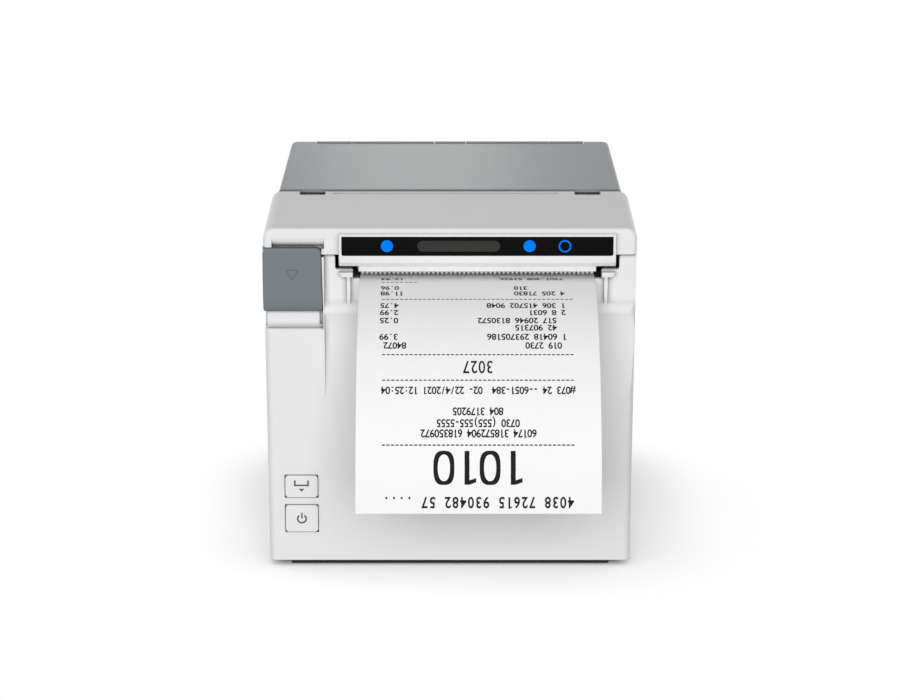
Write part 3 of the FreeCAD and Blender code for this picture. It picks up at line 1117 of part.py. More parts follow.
def paper_guides():
    across = (f"{FRAME_LEFT} + frame_plate + slip_gap", f"{FRAME_RIGHT} - frame_plate - slip_gap")
    up = (f"{PAPER} - 2.5", f"{PAPER} - part_gap")
    front = slab(across, ("frame_front + 0.7", "platen_back - platen_radius - 0.6"), up)
    rear = slab(across, ("platen_back + platen_radius + 1.5", "roll_back - bin_radius + 1"), up)
    piece("paper_guides", group([front, rear]))
    sensor = slab(("paper_offset - 4", "paper_offset + 4"),
                  ("platen_back + platen_radius + 3", "frame_rear - 4"),
                  (f"{PAPER} - 6", f"{PAPER} - 2.5"))
    piece("paper_sensor", sensor)


def cutter():
    """The moving blade with its rack, and the pinion that lifts it."""
    left, right = value(f"{PAPER_LEFT} - 1"), value(f"{PAPER_RIGHT} + 1")
    top, middle = value(f"{PAPER} - blade_rest"), value("paper_offset")
    module = value("rack_module")
    pitch_radius = module * CUTTER_TEETH / 2
    across, level = value(CUTTER_ACROSS), value(CUTTER_LEVEL)
    line = across + pitch_radius
    inner, bar = line + 1.1 * module, line + 1.1 * module + 2.6
    pitch = math.pi * module
    slope = math.tan(math.radians(20))
    half_tip = pitch / 4 - 0.8 * module * slope - value("tooth_play") / 4
    half_root = pitch / 4 + 1.1 * module * slope - value("tooth_play") / 4
    low = level - 7 * pitch - pitch / 2
    outline = [(bar, top - 12), (right, top - 12), (right, top), (middle, top - 2.5), (left, top),
               (inner, top)]
    for index in range(6, -8, -1):
        tooth = level + index * pitch
        outline += [(inner, tooth + half_root), (line - 0.8 * module, tooth + half_tip),
                    (line - 0.8 * module, tooth - half_tip), (inner, tooth - half_root)]
    outline += [(inner, low), (bar, low)]
    front = value("blade_back")
    points = [FreeCAD.Vector(side, front, up) for side, up in outline]
    face = Part.Face(Part.makePolygon(points + points[:1]))
    shaped("moving_blade", face.extrude(FreeCAD.Vector(0, value("blade_thick"), 0)))
    # The pinion lies in the same plane as the rack, with a gap at the rack's side
    width = value(f"{CUTTER_FACE} - 0.3 - {PINION_FRONT}")
    wheel = gear_shape(CUTTER_TEETH, module, width, 0.3, math.pi / CUTTER_TEETH, (0, 0), 0)
    depth = value(f"{CUTTER_FACE} + frame_plate + 4 - {PINION_FRONT}")
    spindle = Part.makeCylinder(value("motor_shaft_radius"), depth, FreeCAD.Vector(0, 0, 0),
                                FreeCAD.Vector(1, 0, 0))
    turned = wheel.fuse(spindle).removeSplitter()
    turn = FreeCAD.Rotation(FreeCAD.Vector(0, 1, 0), FreeCAD.Vector(-1, 0, 0), FreeCAD.Vector(0, 0, 1),
                            "XYZ")
    place = FreeCAD.Placement(FreeCAD.Vector(across, value(PINION_FRONT), level), turn)
    shaped("cutter_pinion", turned.transformed(place.toMatrix(), True))
    face_back = f"{CUTTER_FACE} + frame_plate"
    can = rod("y", (CUTTER_ACROSS, CUTTER_LEVEL), (face_back, f"{face_back} + cutter_motor_length"),
              "cutter_motor_radius")
    bore = rod("y", (CUTTER_ACROSS, CUTTER_LEVEL), (f"{face_back} - 1", f"{face_back} + 4.4"),
               "motor_shaft_radius + running_gap")
    piece("cutter_motor", cut(can, [bore]))


# Print head in the lid

SPRING_ACROSS = ("(paper_offset - 21)", "(paper_offset + 21)")
BRACKET_FRONT = "(platen_back - 11)"
BLADE_FRONT = "(blade_back + blade_thick + blade_gap)"
BLADE_LOW = "(top_height - paper_drop + paper_thick + 0.25)"


def head_assembly():
    top = (f"{CARRIER_LOW} - bracket_thick", CARRIER_LOW)
    rear = "(head_pivot_back + 3)"
    plate = slab((BRACKET_LEFT, BRACKET_RIGHT), (BRACKET_FRONT, rear), top)
    side_up = (f"{HEAD_LOW} + 0.3", top[1])
    sides = [slab((BRACKET_LEFT, f"{BRACKET_LEFT} + bracket_thick"), ("latch_back - 6", rear), side_up),
             slab((f"{BRACKET_RIGHT} - bracket_thick", BRACKET_RIGHT), ("latch_back - 6", rear), side_up)]
    front = slab((BRACKET_LEFT, BRACKET_RIGHT), (BRACKET_FRONT, f"{BRACKET_FRONT} + bracket_thick"),
                 (f"{BLADE_LOW} + fixed_blade_thick", top[1]))
    through = (f"{BRACKET_LEFT} - 1", f"{BRACKET_RIGHT} + 1")
    holes = [rod("x", (PIN_BACK, PIN_LEVEL), through, "latch_pin_radius + fixed_gap"),
             rod("x", ("head_pivot_back", PIVOT_LEVEL), through, "head_pin_radius + fixed_gap")]
    piece("head_bracket", cut(fuse([plate, front] + sides), holes))
    piece("head_pivot_pin", rod("x", ("head_pivot_back", PIVOT_LEVEL), (BRACKET_LEFT, BRACKET_RIGHT),
                                "head_pin_radius"))
    blade = slab((f"{PAPER_LEFT} - 1.3", f"{PAPER_RIGHT} + 1.3"), (BLADE_FRONT, f"{BRACKET_FRONT} + 4"),
                 (BLADE_LOW, f"{BLADE_LOW} + fixed_blade_thick"))
    piece("fixed_blade", blade)
    across = ("paper_offset - paper_width / 2 - 0.8", "paper_offset + paper_width / 2 + 0.8")
    head = slab(across, ("platen_back - 4", "platen_back + 11"), (HEAD_LOW, HEAD_TOP))
    piece("print_head", head)
    bar = slab(across, ("platen_back - 4.5", rear), (HEAD_TOP, SINK_TOP))
    ears = [slab((f"{BRACKET_LEFT} + bracket_thick + part_gap",
                  f"{BRACKET_LEFT} + bracket_thick + part_gap + 3"),
                 ("head_pivot_back - 3", rear), (HEAD_TOP, f"{PIVOT_LEVEL} + 2.6")),
            slab((f"{BRACKET_RIGHT} - bracket_thick - part_gap - 3",
                  f"{BRACKET_RIGHT} - bracket_thick - part_gap"),
                 ("head_pivot_back - 3", rear), (HEAD_TOP, f"{PIVOT_LEVEL} + 2.6"))]
    pivot = rod("x", ("head_pivot_back", PIVOT_LEVEL), through, "head_pin_radius + running_gap")
    # Cooling channels along the top of the sink
    fins = [slab((f"{across[0]} - 1", f"{across[1]} + 1"),
                 (f"platen_back + {start}", f"platen_back + {start} + 1.4"),
                 (f"{SINK_TOP} - 1.6", f"{SINK_TOP} + 1")) for start in (4, 7, 10)]
    piece("heat_sink", cut(fuse([bar] + ears), [pivot] + fins))
    gap = value(f"{CARRIER_LOW} - bracket_thick - {SINK_TOP} - 2 * part_gap - spring_wire")
    start = f"({SINK_TOP} + part_gap + spring_wire / 2)"
    coil("head_springs", [(spot, "platen_back", start) for spot in SPRING_ACROSS], "z", "spring_radius",
         gap, gap / 3.5)


# Inner frame, paper and boards

def inner_frame():
    body = new_body("inner_frame_body")
    left, right = f"({PAPER_LEFT} - bin_play)", f"({PAPER_RIGHT} + bin_play)"
    front, rear = "(roll_back - bin_radius)", "(roll_back + bin_radius)"
    top = f"({BIN_LEVEL} + 21)"
    add(body, "YZ", [[(f"{front} - bin_wall", top), (f"{front} - bin_wall", BIN_LEVEL,
                                                     "bin_radius + bin_wall", "left"),
                      ("roll_back", f"{BIN_LEVEL} - bin_radius - bin_wall", "bin_radius + bin_wall",
                       "left"),
                      (f"{rear} + bin_wall", BIN_LEVEL), (f"{rear} + bin_wall", top)]],
        (f"{left} - bin_wall", f"{right} + bin_wall"))
    remove(body, "YZ", [[(front, f"{top} + 1"), (front, BIN_LEVEL, "bin_radius", "left"),
                         ("roll_back", f"{BIN_LEVEL} - bin_radius", "bin_radius", "left"),
                         (rear, BIN_LEVEL), (rear, f"{top} + 1")]],
           (left, right))
    deck_left, deck_right = f"({FRAME_LEFT} - 2)", f"({FRAME_RIGHT} + 2.5)"
    deck_back = f"(roll_back - sqrt(bin_radius ^ 2 - ({BIN_LEVEL} - {DECK_TOP}) ^ 2) - 0.3)"
    add(body, "XY", [box_loop((deck_left, deck_right), ("leg_inset - leg_size", deck_back))],
        (f"{DECK_TOP} - deck_thick", DECK_TOP))
    for start, end in ((deck_left, f"{deck_left} + leg_size"), (f"{deck_right} - leg_size", deck_right)):
        add(body, "XY", [box_loop((start, end), ("leg_inset - leg_size", "leg_inset"))],
            (BASE_TOP, f"{DECK_TOP} - deck_thick + 0.5"))
    for start, end in ((f"{left} - bin_wall - leg_size", f"{left} - bin_wall + 0.5"),
                       (f"{right} + bin_wall - 0.5", f"{right} + bin_wall + leg_size")):
        add(body, "XY", [box_loop((start, end), ("roll_back + 15", "roll_back + 15 + leg_size"))],
            (BASE_TOP, f"{BIN_LEVEL} - 10"))
    for across, back in FRAME_SPOTS:
        remove(body, "XY", [(across, back, "1.1 + fixed_gap")], (f"{DECK_TOP} - 2", f"{DECK_TOP} + 1"))
    piece("inner_frame", body)
    sensor = slab((f"{left} - bin_wall - 3", f"{left} - bin_wall"), ("roll_back - 14", "roll_back - 6"),
                  (f"{BIN_LEVEL} - 21", f"{BIN_LEVEL} - 12"))
    piece("near_end_sensor", sensor)


def paper():
    line = ("roll_back", ROLL_LEVEL)
    across = (PAPER_LEFT, PAPER_RIGHT)
    piece("paper_roll", tube("x", line, across, "roll_radius", "core_radius + fixed_gap"))
    piece("roll_core", tube("x", line, across, "core_radius", "core_bore"))
    over = f"({ROLL_LEVEL} + roll_radius + paper_gap)"
    bend = "(platen_back + platen_radius + 3)"
    start = f"({BLADE_FRONT} + 0.3)"
    web = prism("YZ", [[(start, PAPER), (bend, PAPER), ("roll_back", over),
                        ("roll_back", f"{over} + paper_thick"),
                        (bend, PAPER_TOP), (start, PAPER_TOP)]], across)
    piece("paper_web", web)
    # The ticket leaves the slot level, curls down in one arc and ends in a short straight tail
    lead_slope = "ticket_slope"
    inner = "(ticket_curl - paper_thick)"
    back = "(blade_back - 0.4)"
    middle_back = f"(-ticket_lead + ticket_curl * sin({lead_slope}))"
    middle_up = f"({PAPER_TOP} - ticket_curl * cos({lead_slope}))"

    def on_arc(radius, angle):
        return f"{middle_back} - {radius} * sin({angle})", f"{middle_up} + {radius} * cos({angle})"

    outer_start, outer_end = on_arc("ticket_curl", lead_slope), on_arc("ticket_curl", "ticket_hang")
    inner_start, inner_end = on_arc(inner, lead_slope), on_arc(inner, "ticket_hang")
    tail_back, tail_up = "ticket_tail * cos(ticket_hang)", "ticket_tail * sin(ticket_hang)"
    outline = [(back, PAPER), (*inner_start, inner, "left"), inner_end,
               (f"{inner_end[0]} - {tail_back}", f"{inner_end[1]} - {tail_up}"),
               (f"{outer_end[0]} - {tail_back}", f"{outer_end[1]} - {tail_up}"),
               (*outer_end, "ticket_curl", "right"), outer_start, (back, PAPER_TOP)]
    piece("ticket", prism("YZ", [outline], across))


RIBBON_END = f"({REAR_WALL} - ribbon_inset)"


def boards():
    board = slab((BOARD_LEFT, BOARD_RIGHT), (BOARD_FRONT, BOARD_REAR), ("board_level", BOARD_TOP))
    holes = [rod("z", spot, ("board_level - 1", f"{BOARD_TOP} + 1"), "1.3") for spot in BOARD_SPOTS]
    piece("main_board", cut(board, holes))
    middle = "(roll_back - 8)"
    chips = [slab(("paper_offset - 1.5 * chip_size", "paper_offset - chip_size / 2"),
                  (f"{middle} - chip_size / 2", f"{middle} + chip_size / 2"),
                  (BOARD_TOP, f"{BOARD_TOP} + 1.6")),
             slab(("paper_offset + chip_size / 3", "paper_offset + 1.2 * chip_size"),
                  (f"{middle} - chip_size / 2", f"{middle} + chip_size / 3"),
                  (BOARD_TOP, f"{BOARD_TOP} + 1.4")),
             slab(("-ribbon_width - 1", "1"), (f"{RIBBON_END} - 2.6", f"{RIBBON_END} + 2.2"),
                  (BOARD_TOP, f"{BOARD_TOP} + 3"))]
    chips += [rod("z", (across, "roll_back + 11"), (BOARD_TOP, f"{BOARD_TOP} + capacitor_height"),
                  "capacitor_radius")
              for across in (f"{BOARD_LEFT} + 3 * capacitor_radius",
                             f"{BOARD_RIGHT} - 4 * capacitor_radius")]
    piece("board_chips", group(chips))
    mouth = f"({REAR_WALL} - part_gap)"
    for label, left, right, height in sockets():
        shell = slab((left, right), (f"{mouth} - socket_depth - 6", mouth),
                     (BOARD_TOP, f"{BOARD_TOP} + {height}"))
        hollow = slab((f"{left} + socket_wall", f"{right} - socket_wall"),
                      (f"{mouth} - socket_depth", f"{mouth} + 1"),
                      (f"{BOARD_TOP} + socket_wall", f"{BOARD_TOP} + {height} - socket_wall"))
        piece(label, cut(shell, [hollow]))


def flat_cable(label, line):
    """A flat cable along a line of (back, up, back of the other face, up of the other face)."""
    near = [(back, up) for back, up, other_back, other_up in line]
    far = [(other_back, other_up) for back, up, other_back, other_up in reversed(line)]
    piece(label, prism("YZ", [near + far], ("-ribbon_width", "0")))


def ribbons():
    step = f"({LID_FRONT} + 2.4)"
    under, carrier = "(top_height - 2.4)", CARRIER_LOW
    wide = "ribbon_thick"
    flat_cable("cover_ribbon", [
        ("head_pivot_back + 4", carrier, "head_pivot_back + 4", f"{carrier} - {wide}"),
        (step, carrier, f"{step} + {wide}", f"{carrier} - {wide}"),
        (step, under, f"{step} + {wide}", f"{under} - {wide}"),
        (f"{HINGE_BACK} - 9", under, f"{HINGE_BACK} - 9", f"{under} - {wide}")])
    wall = f"({REAR_WALL} - slip_gap)"
    turn = f"({BOARD_TOP} + 16.4)"
    flat_cable("base_ribbon", [
        (wall, f"{HINGE_LEVEL} - 8", f"{wall} - {wide}", f"{HINGE_LEVEL} - 8"),
        (wall, turn, f"{wall} - {wide}", f"{turn} + {wide}"),
        (RIBBON_END, turn, f"{RIBBON_END} - {wide}", f"{turn} + {wide}"),
        (RIBBON_END, f"{BOARD_TOP} + 3", f"{RIBBON_END} - {wide}", f"{BOARD_TOP} + 3")])


def screw(across, back, head_low, shank_high, head_radius, shank_radius, head_height="1.4"):
    head = rod("z", (across, back), (head_low, f"{head_low} + {head_height}"), head_radius)
    shank = rod("z", (across, back), (f"{head_low} + {head_height} / 2", shank_high), shank_radius)
    return fuse([head, shank])


def screws():
    base = [screw(across, back, "foot_height", "15", "3", "1.4") for across, back in BASE_SPOTS]
    piece("base_screws", group(base))
    frame = []
    for across, back in FRAME_SPOTS:
        head = rod("z", (across, back), (CROSS_TOP, f"{CROSS_TOP} + 1.5"), "2.4")
        shank = rod("z", (across, back), (f"{DECK_TOP} - 1.8", f"{CROSS_TOP} + 0.5"), "1.1")
        frame.append(fuse([head, shank]))
    piece("frame_screws", group(frame))
    board = []
    for across, back in BOARD_SPOTS:
        head = rod("z", (across, back), (BOARD_TOP, f"{BOARD_TOP} + 1.4"), "2.2")
        shank = rod("z", (across, back), (BASE_TOP, f"{BOARD_TOP} + 0.5"), "1.2")
        board.append(fuse([head, shank]))
    piece("board_screws", group(board))


def hinge_pin():
    piece("hinge_pin", rod("x", (HINGE_BACK, HINGE_LEVEL),
                           ("0.4 - hinge_width / 2", "hinge_width / 2 - 0.4"), "hinge_pin_radius"))


def check_and_write():
    doc.recompute()
    for thing in doc.Objects:
        if fault(thing):
            raise ValueError(f"{thing.Label} did not compute: {thing.State}")
    os.makedirs("parts", exist_ok=True)
    for solid in PIECES:
        if solid.Shape.isNull() or not solid.Shape.isValid() or not solid.Shape.Solids:
            raise ValueError(f"{solid.Label} has no valid shape")
        solid.Shape.exportStep(f"parts/{solid.Label}.step")
    print(len(PIECES), "pieces")


front_case()
rear_case()
base_plate()
roll_cover()
bezel_cover()
led_window()
tear_bar()
open_lever()
latch()
button("feed_button", "feed_level", "feed_height")
button("power_button", "power_level", "power_height")
button_board()
paper_drive()
print_frame()
paper_guides()
cutter()
head_assembly()
inner_frame()
paper()
boards()
ribbons()
screws()
hinge_pin()
check_and_write()
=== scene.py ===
# %% [markdown]
# # Dressing a countertop queue ticket printer
# A small white and grey box prints a numbered ticket and lets it curl down over its front. Its
# moulded shells, gears and boards come ready as solids. This lesson gives them their finishes,
# rounds their edges, lays a thin sheet of paper in the slot and prints on it.

# %% Load the solids
import json
import math
import bmesh
import bpy
from mathutils import Matrix, Vector


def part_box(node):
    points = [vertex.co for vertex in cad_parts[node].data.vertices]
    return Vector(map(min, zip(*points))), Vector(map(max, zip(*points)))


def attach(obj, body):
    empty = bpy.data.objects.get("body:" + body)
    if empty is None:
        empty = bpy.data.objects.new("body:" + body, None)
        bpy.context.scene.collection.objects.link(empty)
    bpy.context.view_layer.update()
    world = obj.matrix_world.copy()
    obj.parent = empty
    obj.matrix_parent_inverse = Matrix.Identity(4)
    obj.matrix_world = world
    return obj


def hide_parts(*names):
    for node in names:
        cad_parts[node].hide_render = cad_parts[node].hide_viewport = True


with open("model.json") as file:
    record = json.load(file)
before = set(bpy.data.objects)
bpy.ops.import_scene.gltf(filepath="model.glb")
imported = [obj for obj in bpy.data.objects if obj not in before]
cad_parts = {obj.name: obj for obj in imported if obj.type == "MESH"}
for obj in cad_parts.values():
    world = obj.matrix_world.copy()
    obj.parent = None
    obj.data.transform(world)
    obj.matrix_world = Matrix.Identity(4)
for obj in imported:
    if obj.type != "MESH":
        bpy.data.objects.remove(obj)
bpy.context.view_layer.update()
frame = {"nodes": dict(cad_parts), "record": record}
solids = frame["nodes"]
MM = 0.001

# %% [markdown]
# ## The finishes
# Moulded plastic is never one flat colour: a fine spark-eroded grain breaks up the shine, and the
# tone drifts a little over a wide face. A noise texture can do both. It reads Object coordinates,
# which are metres here, so its scale is the number of grains in a metre on every piece alike. Every
# finish is built from the same few steps, so each step is a function.

# %% Steps of a node tree
# the colour that painted shade darkens crevices towards
PAINTED_SHADE_BLACK = (0, 0, 0)


def new_finish(name):
    """An empty material with its shader, its node tree and its place on the object."""
    finish = bpy.data.materials.new(name)
    finish.use_nodes = True
    tree = finish.node_tree
    shader = tree.nodes["Principled BSDF"]
    place = tree.nodes.new("ShaderNodeTexCoord").outputs["Object"]
    return finish, tree, shader, place


def calculate(tree, operation, first, second):
    """The result of an operation on two inputs, each a socket or a plain number."""
    node = tree.nodes.new("ShaderNodeMath")
    node.operation = operation
    for socket, value in zip(node.inputs, (first, second)):
        if isinstance(value, (int, float)):
            socket.default_value = value
        else:
            tree.links.new(value, socket)
    return node.outputs[0]


def mix_colours(tree, amount, first, second):
    """A blend of two colours, each a socket or three numbers."""
    node = tree.nodes.new("ShaderNodeMix")
    node.data_type = "RGBA"
    tree.links.new(amount, node.inputs["Factor"])
    for side, colour in (("A", first), ("B", second)):
        if isinstance(colour, tuple):
            node.inputs[side].default_value = (*colour, 1)
        else:
            tree.links.new(colour, node.inputs[side])
    return node.outputs["Result"]


def speckle(tree, place, per_metre, detail=2.0, stretch=(1, 1, 1)):
    """Noise with so many grains in a metre, stretched where the finish has a direction."""
    turn = tree.nodes.new("ShaderNodeMapping")
    turn.inputs["Scale"].default_value = stretch
    noise = tree.nodes.new("ShaderNodeTexNoise")
    noise.inputs["Scale"].default_value = per_metre
    noise.inputs["Detail"].default_value = detail
    tree.links.new(place, turn.inputs["Vector"])
    tree.links.new(turn.outputs["Vector"], noise.inputs["Vector"])
    return noise.outputs["Fac"]


def openness(tree, reach, power, samples):
    """1 where nothing stands within the reach, less in a groove or beside a wall; it sets painted
    shade.
    """
    around = tree.nodes.new("ShaderNodeAmbientOcclusion")
    around.samples = samples
    around.inputs["Distance"].default_value = reach
    return calculate(tree, "POWER", around.outputs["AO"], power)


print("node helpers ready")

# %% [markdown]
# No moulding has a knife edge. A ready solid keeps its mesh, so the rounding is left to the shader:
# a Bevel node averages the normals within a radius, and every edge catches the light. In the seams
# of the case an Ambient Occlusion node darkens the colour towards black: painted shade.

# %% Colour, roughness and relief
DRIFTS_PER_METRE = 14
MOULDED_EDGE, BEVEL_SAMPLES = 0.35 * MM, 8
# how far and how finely the painted crevice shade looks for nearby walls
PAINTED_SHADE_REACH, PAINTED_SHADE_SAMPLES = 2.2 * MM, 6


def drift(tree, shader, amount, colour, other):
    """The base colour wanders between two close colours."""
    blend = mix_colours(tree, amount, colour, other)
    tree.links.new(blend, shader.inputs["Base Color"])
    return blend


def roughen(tree, shader, amount, low, high):
    """The roughness wanders between two values."""
    ramp = tree.nodes.new("ShaderNodeMapRange")
    ramp.inputs["To Min"].default_value = low
    ramp.inputs["To Max"].default_value = high
    tree.links.new(amount, ramp.inputs["Value"])
    tree.links.new(ramp.outputs["Result"], shader.inputs["Roughness"])


def raise_grain(tree, shader, height, depth, strength=0.5, edge=0.0):
    """The grain stands up by a real depth in metres, and edges shade as if rounded by a radius."""
    bump = tree.nodes.new("ShaderNodeBump")
    if edge:
        rounded = tree.nodes.new("ShaderNodeBevel")
        rounded.samples = BEVEL_SAMPLES
        rounded.inputs["Radius"].default_value = edge
        tree.links.new(rounded.outputs["Normal"], bump.inputs["Normal"])
    bump.inputs["Strength"].default_value = strength
    bump.inputs["Distance"].default_value = depth
    tree.links.new(height, bump.inputs["Height"])
    tree.links.new(bump.outputs["Normal"], shader.inputs["Normal"])


def moulded(name, colour, other, rough, grains=2400, depth=0.012 * MM, shine=0.5,
            edge=MOULDED_EDGE, painted_crevice_shade=0.0):
    """Moulded plastic: a wide drift of tone, a fine grain, an even shine, perhaps painted crevice
    shade.
    """
    finish, tree, shader, place = new_finish(name)
    blend = drift(tree, shader, speckle(tree, place, DRIFTS_PER_METRE, 3), colour, other)
    # painted shade: in grooves and seams the colour is darkened towards black
    if painted_crevice_shade:
        painted_shade_factor = openness(tree, PAINTED_SHADE_REACH, painted_crevice_shade, PAINTED_SHADE_SAMPLES)
        drift(tree, shader, painted_shade_factor, PAINTED_SHADE_BLACK, blend)
    grain = speckle(tree, place, grains)
    roughen(tree, shader, grain, rough - 0.05, rough + 0.07)
    raise_grain(tree, shader, grain, depth, edge=edge)
    shader.inputs["Specular IOR Level"].default_value = shine
    return finish


print("finish helpers ready")

# %% [markdown]
# The plastics differ in tone and in shine, so one recipe makes them all; the two case plastics also
# get painted shade in their crevices. The white case is matt and the grey one satin. The lever and
# the buttons lie between, because fingers polish them. Each line gives two close colours, the
# roughness and often the grains in a metre.

# %% Moulded plastics
finishes = {
    # both case plastics get painted shade in their crevices
    "white_case": moulded("case_white", (0.80, 0.80, 0.80), (0.78, 0.781, 0.783), 0.58,
                          shine=0.2, painted_crevice_shade=0.8),
    "grey_case": moulded("case_grey", (0.250, 0.268, 0.277), (0.236, 0.254, 0.263), 0.3,
                         shine=0.1, painted_crevice_shade=0.8),
    "lever_grey": moulded("lever_grey", (0.170, 0.193, 0.207), (0.158, 0.181, 0.195), 0.4, 2000),
    "button_white": moulded("button_white", (0.80, 0.80, 0.80), (0.78, 0.78, 0.785), 0.42, 2000),
    "black_plastic": moulded("inner_black", (0.022, 0.022, 0.024), (0.03, 0.03, 0.032), 0.45),
    "gear_plastic": moulded("gear_cream", (0.68, 0.66, 0.58), (0.62, 0.60, 0.53), 0.35, 1500),
    "black_rubber": moulded("roller_rubber", (0.02, 0.02, 0.02), (0.035, 0.034, 0.033), 0.75,
                            1800, depth=0.03 * MM, shine=0.3),
    "cable": moulded("cable_grey", (0.70, 0.71, 0.73), (0.63, 0.64, 0.66), 0.4, 1200),
}
print("plastics:", sorted(finishes))

# %% [markdown]
# Metal shows its making: strip steel is brushed along its length, so its noise is stretched to
# long streaks, while the ground blade has much finer ones.

# %% Metals
STREAK_DEPTH, METAL_EDGE = 0.006 * MM, 0.1 * MM


def brushed(name, colour, other, rough, streaks, stretch):
    """Metal with so many streaks in a metre, stretched along one direction."""
    finish, tree, shader, place = new_finish(name)
    streak = speckle(tree, place, streaks, 4, stretch)
    drift(tree, shader, streak, colour, other)
    roughen(tree, shader, streak, rough - 0.07, rough + 0.1)
    raise_grain(tree, shader, streak, STREAK_DEPTH, edge=METAL_EDGE)
    shader.inputs["Metallic"].default_value = 1.0
    return finish


finishes["steel"] = brushed("strip_steel", (0.56, 0.56, 0.57), (0.46, 0.46, 0.47), 0.34,
                            1800, (0.04, 1, 1))
finishes["blade_steel"] = brushed("blade_steel", (0.66, 0.66, 0.68), (0.56, 0.56, 0.58), 0.24,
                                  4200, (1, 0.05, 0.05))
finishes["aluminium"] = brushed("heat_sink_aluminium", (0.70, 0.70, 0.72), (0.60, 0.60, 0.62), 0.4,
                                1500, (0.05, 1, 1))
print("metals:", [finishes[s].name for s in ("steel", "blade_steel", "aluminium")])

# %% [markdown]
# The status window is smoked acrylic, almost black. A dust of very fine scratches changes its
# roughness alone. The status lights behind it are on, so they glow.

# %% Smoked window
window, tree, shader, place = new_finish("window_black")
drift(tree, shader, speckle(tree, place, 60), (0.0015, 0.0015, 0.0016), (0.0025, 0.0025, 0.0027))
roughen(tree, shader, speckle(tree, place, 900, 5), 0.08, 0.2)
shader.inputs["Specular IOR Level"].default_value = 0.06
finishes["window_black"] = window
print("window ready")

# %% Status lights
light, tree, shader, place = new_finish("status_blue")
glow = speckle(tree, place, 500)
drift(tree, shader, glow, (0.0, 0.004, 0.02), (0.0, 0.006, 0.03))
roughen(tree, shader, glow, 0.25, 0.35)
shader.inputs["Specular IOR Level"].default_value = 0.0
shader.inputs["Emission Color"].default_value = (0.0, 0.225, 1.0, 1)
shader.inputs["Emission Strength"].default_value = 0.95
finishes["light_blue"] = light
print("lights ready")

# %% [markdown]
# Thermal paper is smooth on its printed side, with short fibres just visible. Card for the core is
# coarser and browner. Both are noise at two scales, with the fibres drawn out along the web.

# %% Paper and card
CLOUDS_PER_METRE = 90
FIBRE_STRETCH, FIBRE_STRENGTH = (1, 0.35, 0.35), 0.4


def fibrous(name, colour, other, rough, fibres, depth):
    """Paper or card: cloudy tone and short fibres, so many in a metre."""
    finish, tree, shader, place = new_finish(name)
    drift(tree, shader, speckle(tree, place, CLOUDS_PER_METRE, 4), colour, other)
    fibre = speckle(tree, place, fibres, 5, FIBRE_STRETCH)
    roughen(tree, shader, fibre, rough - 0.05, rough + 0.08)
    raise_grain(tree, shader, fibre, depth, FIBRE_STRENGTH)
    shader.inputs["Specular IOR Level"].default_value = 0.3
    return finish


finishes["thermal_paper"] = fibrous("thermal_paper", (0.89, 0.89, 0.895), (0.875, 0.875, 0.88),
                                    0.55, 2600, 0.008 * MM)
finishes["card_core"] = fibrous("card_core", (0.42, 0.30, 0.18), (0.35, 0.245, 0.14),
                                0.8, 1100, 0.05 * MM)
print("papers ready")

# %% [markdown]
# The last finishes stay inside: the alumina print head and the lacquered boards, whose faint copper
# tracks are a brick pattern of two close greens.

# %% Ceramic and circuit board
TRACKS_PER_METRE, TRACK_HEIGHT, TRACK_STRENGTH = 260, 0.02 * MM, 0.4
finishes["ceramic"] = moulded("head_ceramic", (0.80, 0.78, 0.72), (0.76, 0.74, 0.68), 0.28, 900)
board, tree, shader, place = new_finish("circuit_board")
tracks = tree.nodes.new("ShaderNodeTexBrick")
tracks.inputs["Scale"].default_value = TRACKS_PER_METRE
tracks.inputs["Color1"].default_value = (0.012, 0.085, 0.04, 1)
tracks.inputs["Color2"].default_value = (0.016, 0.105, 0.05, 1)
tracks.inputs["Mortar"].default_value = (0.03, 0.17, 0.085, 1)
tracks.inputs["Mortar Size"].default_value = 0.06
tree.links.new(place, tracks.inputs["Vector"])
tree.links.new(tracks.outputs["Color"], shader.inputs["Base Color"])
roughen(tree, shader, speckle(tree, place, 700, 3), 0.25, 0.4)
raise_grain(tree, shader, tracks.outputs["Fac"], TRACK_HEIGHT, TRACK_STRENGTH)
finishes["circuit_board"] = board
print("finishes:", len(finishes))

# %% [markdown]
# ## Dress every solid
# The record says which finish each solid takes, so a loop gives them out. A solid keeps its mesh:
# only its material slot changes.

# %% Give out the finishes
for part in frame["record"]["subparts"]:
    mesh = solids[part["node"]].data
    mesh.materials.clear()
    mesh.materials.append(finishes[part["material_slot"]])

# %% [markdown]
# ## The ticket
# The ticket is a strip of thermal paper, still curled from its roll. Seen from the side it is a
# straight lead out of the slot, an arc and a short straight tail. The box of the solid ticket tells
# where it starts and ends, and the lengths of the three parts add up to the flat sheet.

# %% Where the ticket lies
low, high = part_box("ticket")
CURL = 72 * MM
LEAD_SLOPE, HANG_SLOPE = math.radians(8), math.radians(80)
TAIL = 4 * MM
THICK = 0.1 * MM
TICKET_LEFT, TICKET_RIGHT, PAPER_TOP = low.x, high.x, high.z
arc_front = (low.y + TAIL * math.cos(HANG_SLOPE)
             + CURL * (math.sin(HANG_SLOPE) - math.sin(LEAD_SLOPE)))
ARC_START = Vector((0, arc_front, PAPER_TOP))
AXIS = ARC_START + CURL * Vector((0, math.sin(LEAD_SLOPE), -math.cos(LEAD_SLOPE)))
ARC_LENGTH = CURL * (HANG_SLOPE - LEAD_SLOPE)

# %% Helpers for a piece
VERT, EDGE = bmesh.types.BMVert, bmesh.types.BMEdge


def make_mesh(name, shape):
    """Turns a bmesh into a mesh and lets the bmesh go."""
    mesh = bpy.data.meshes.new(name)
    shape.to_mesh(mesh)
    shape.free()
    return mesh


def only(kind, grown):
    """The vertices or the edges among what an operator has grown."""
    return [element for element in grown if isinstance(element, kind)]


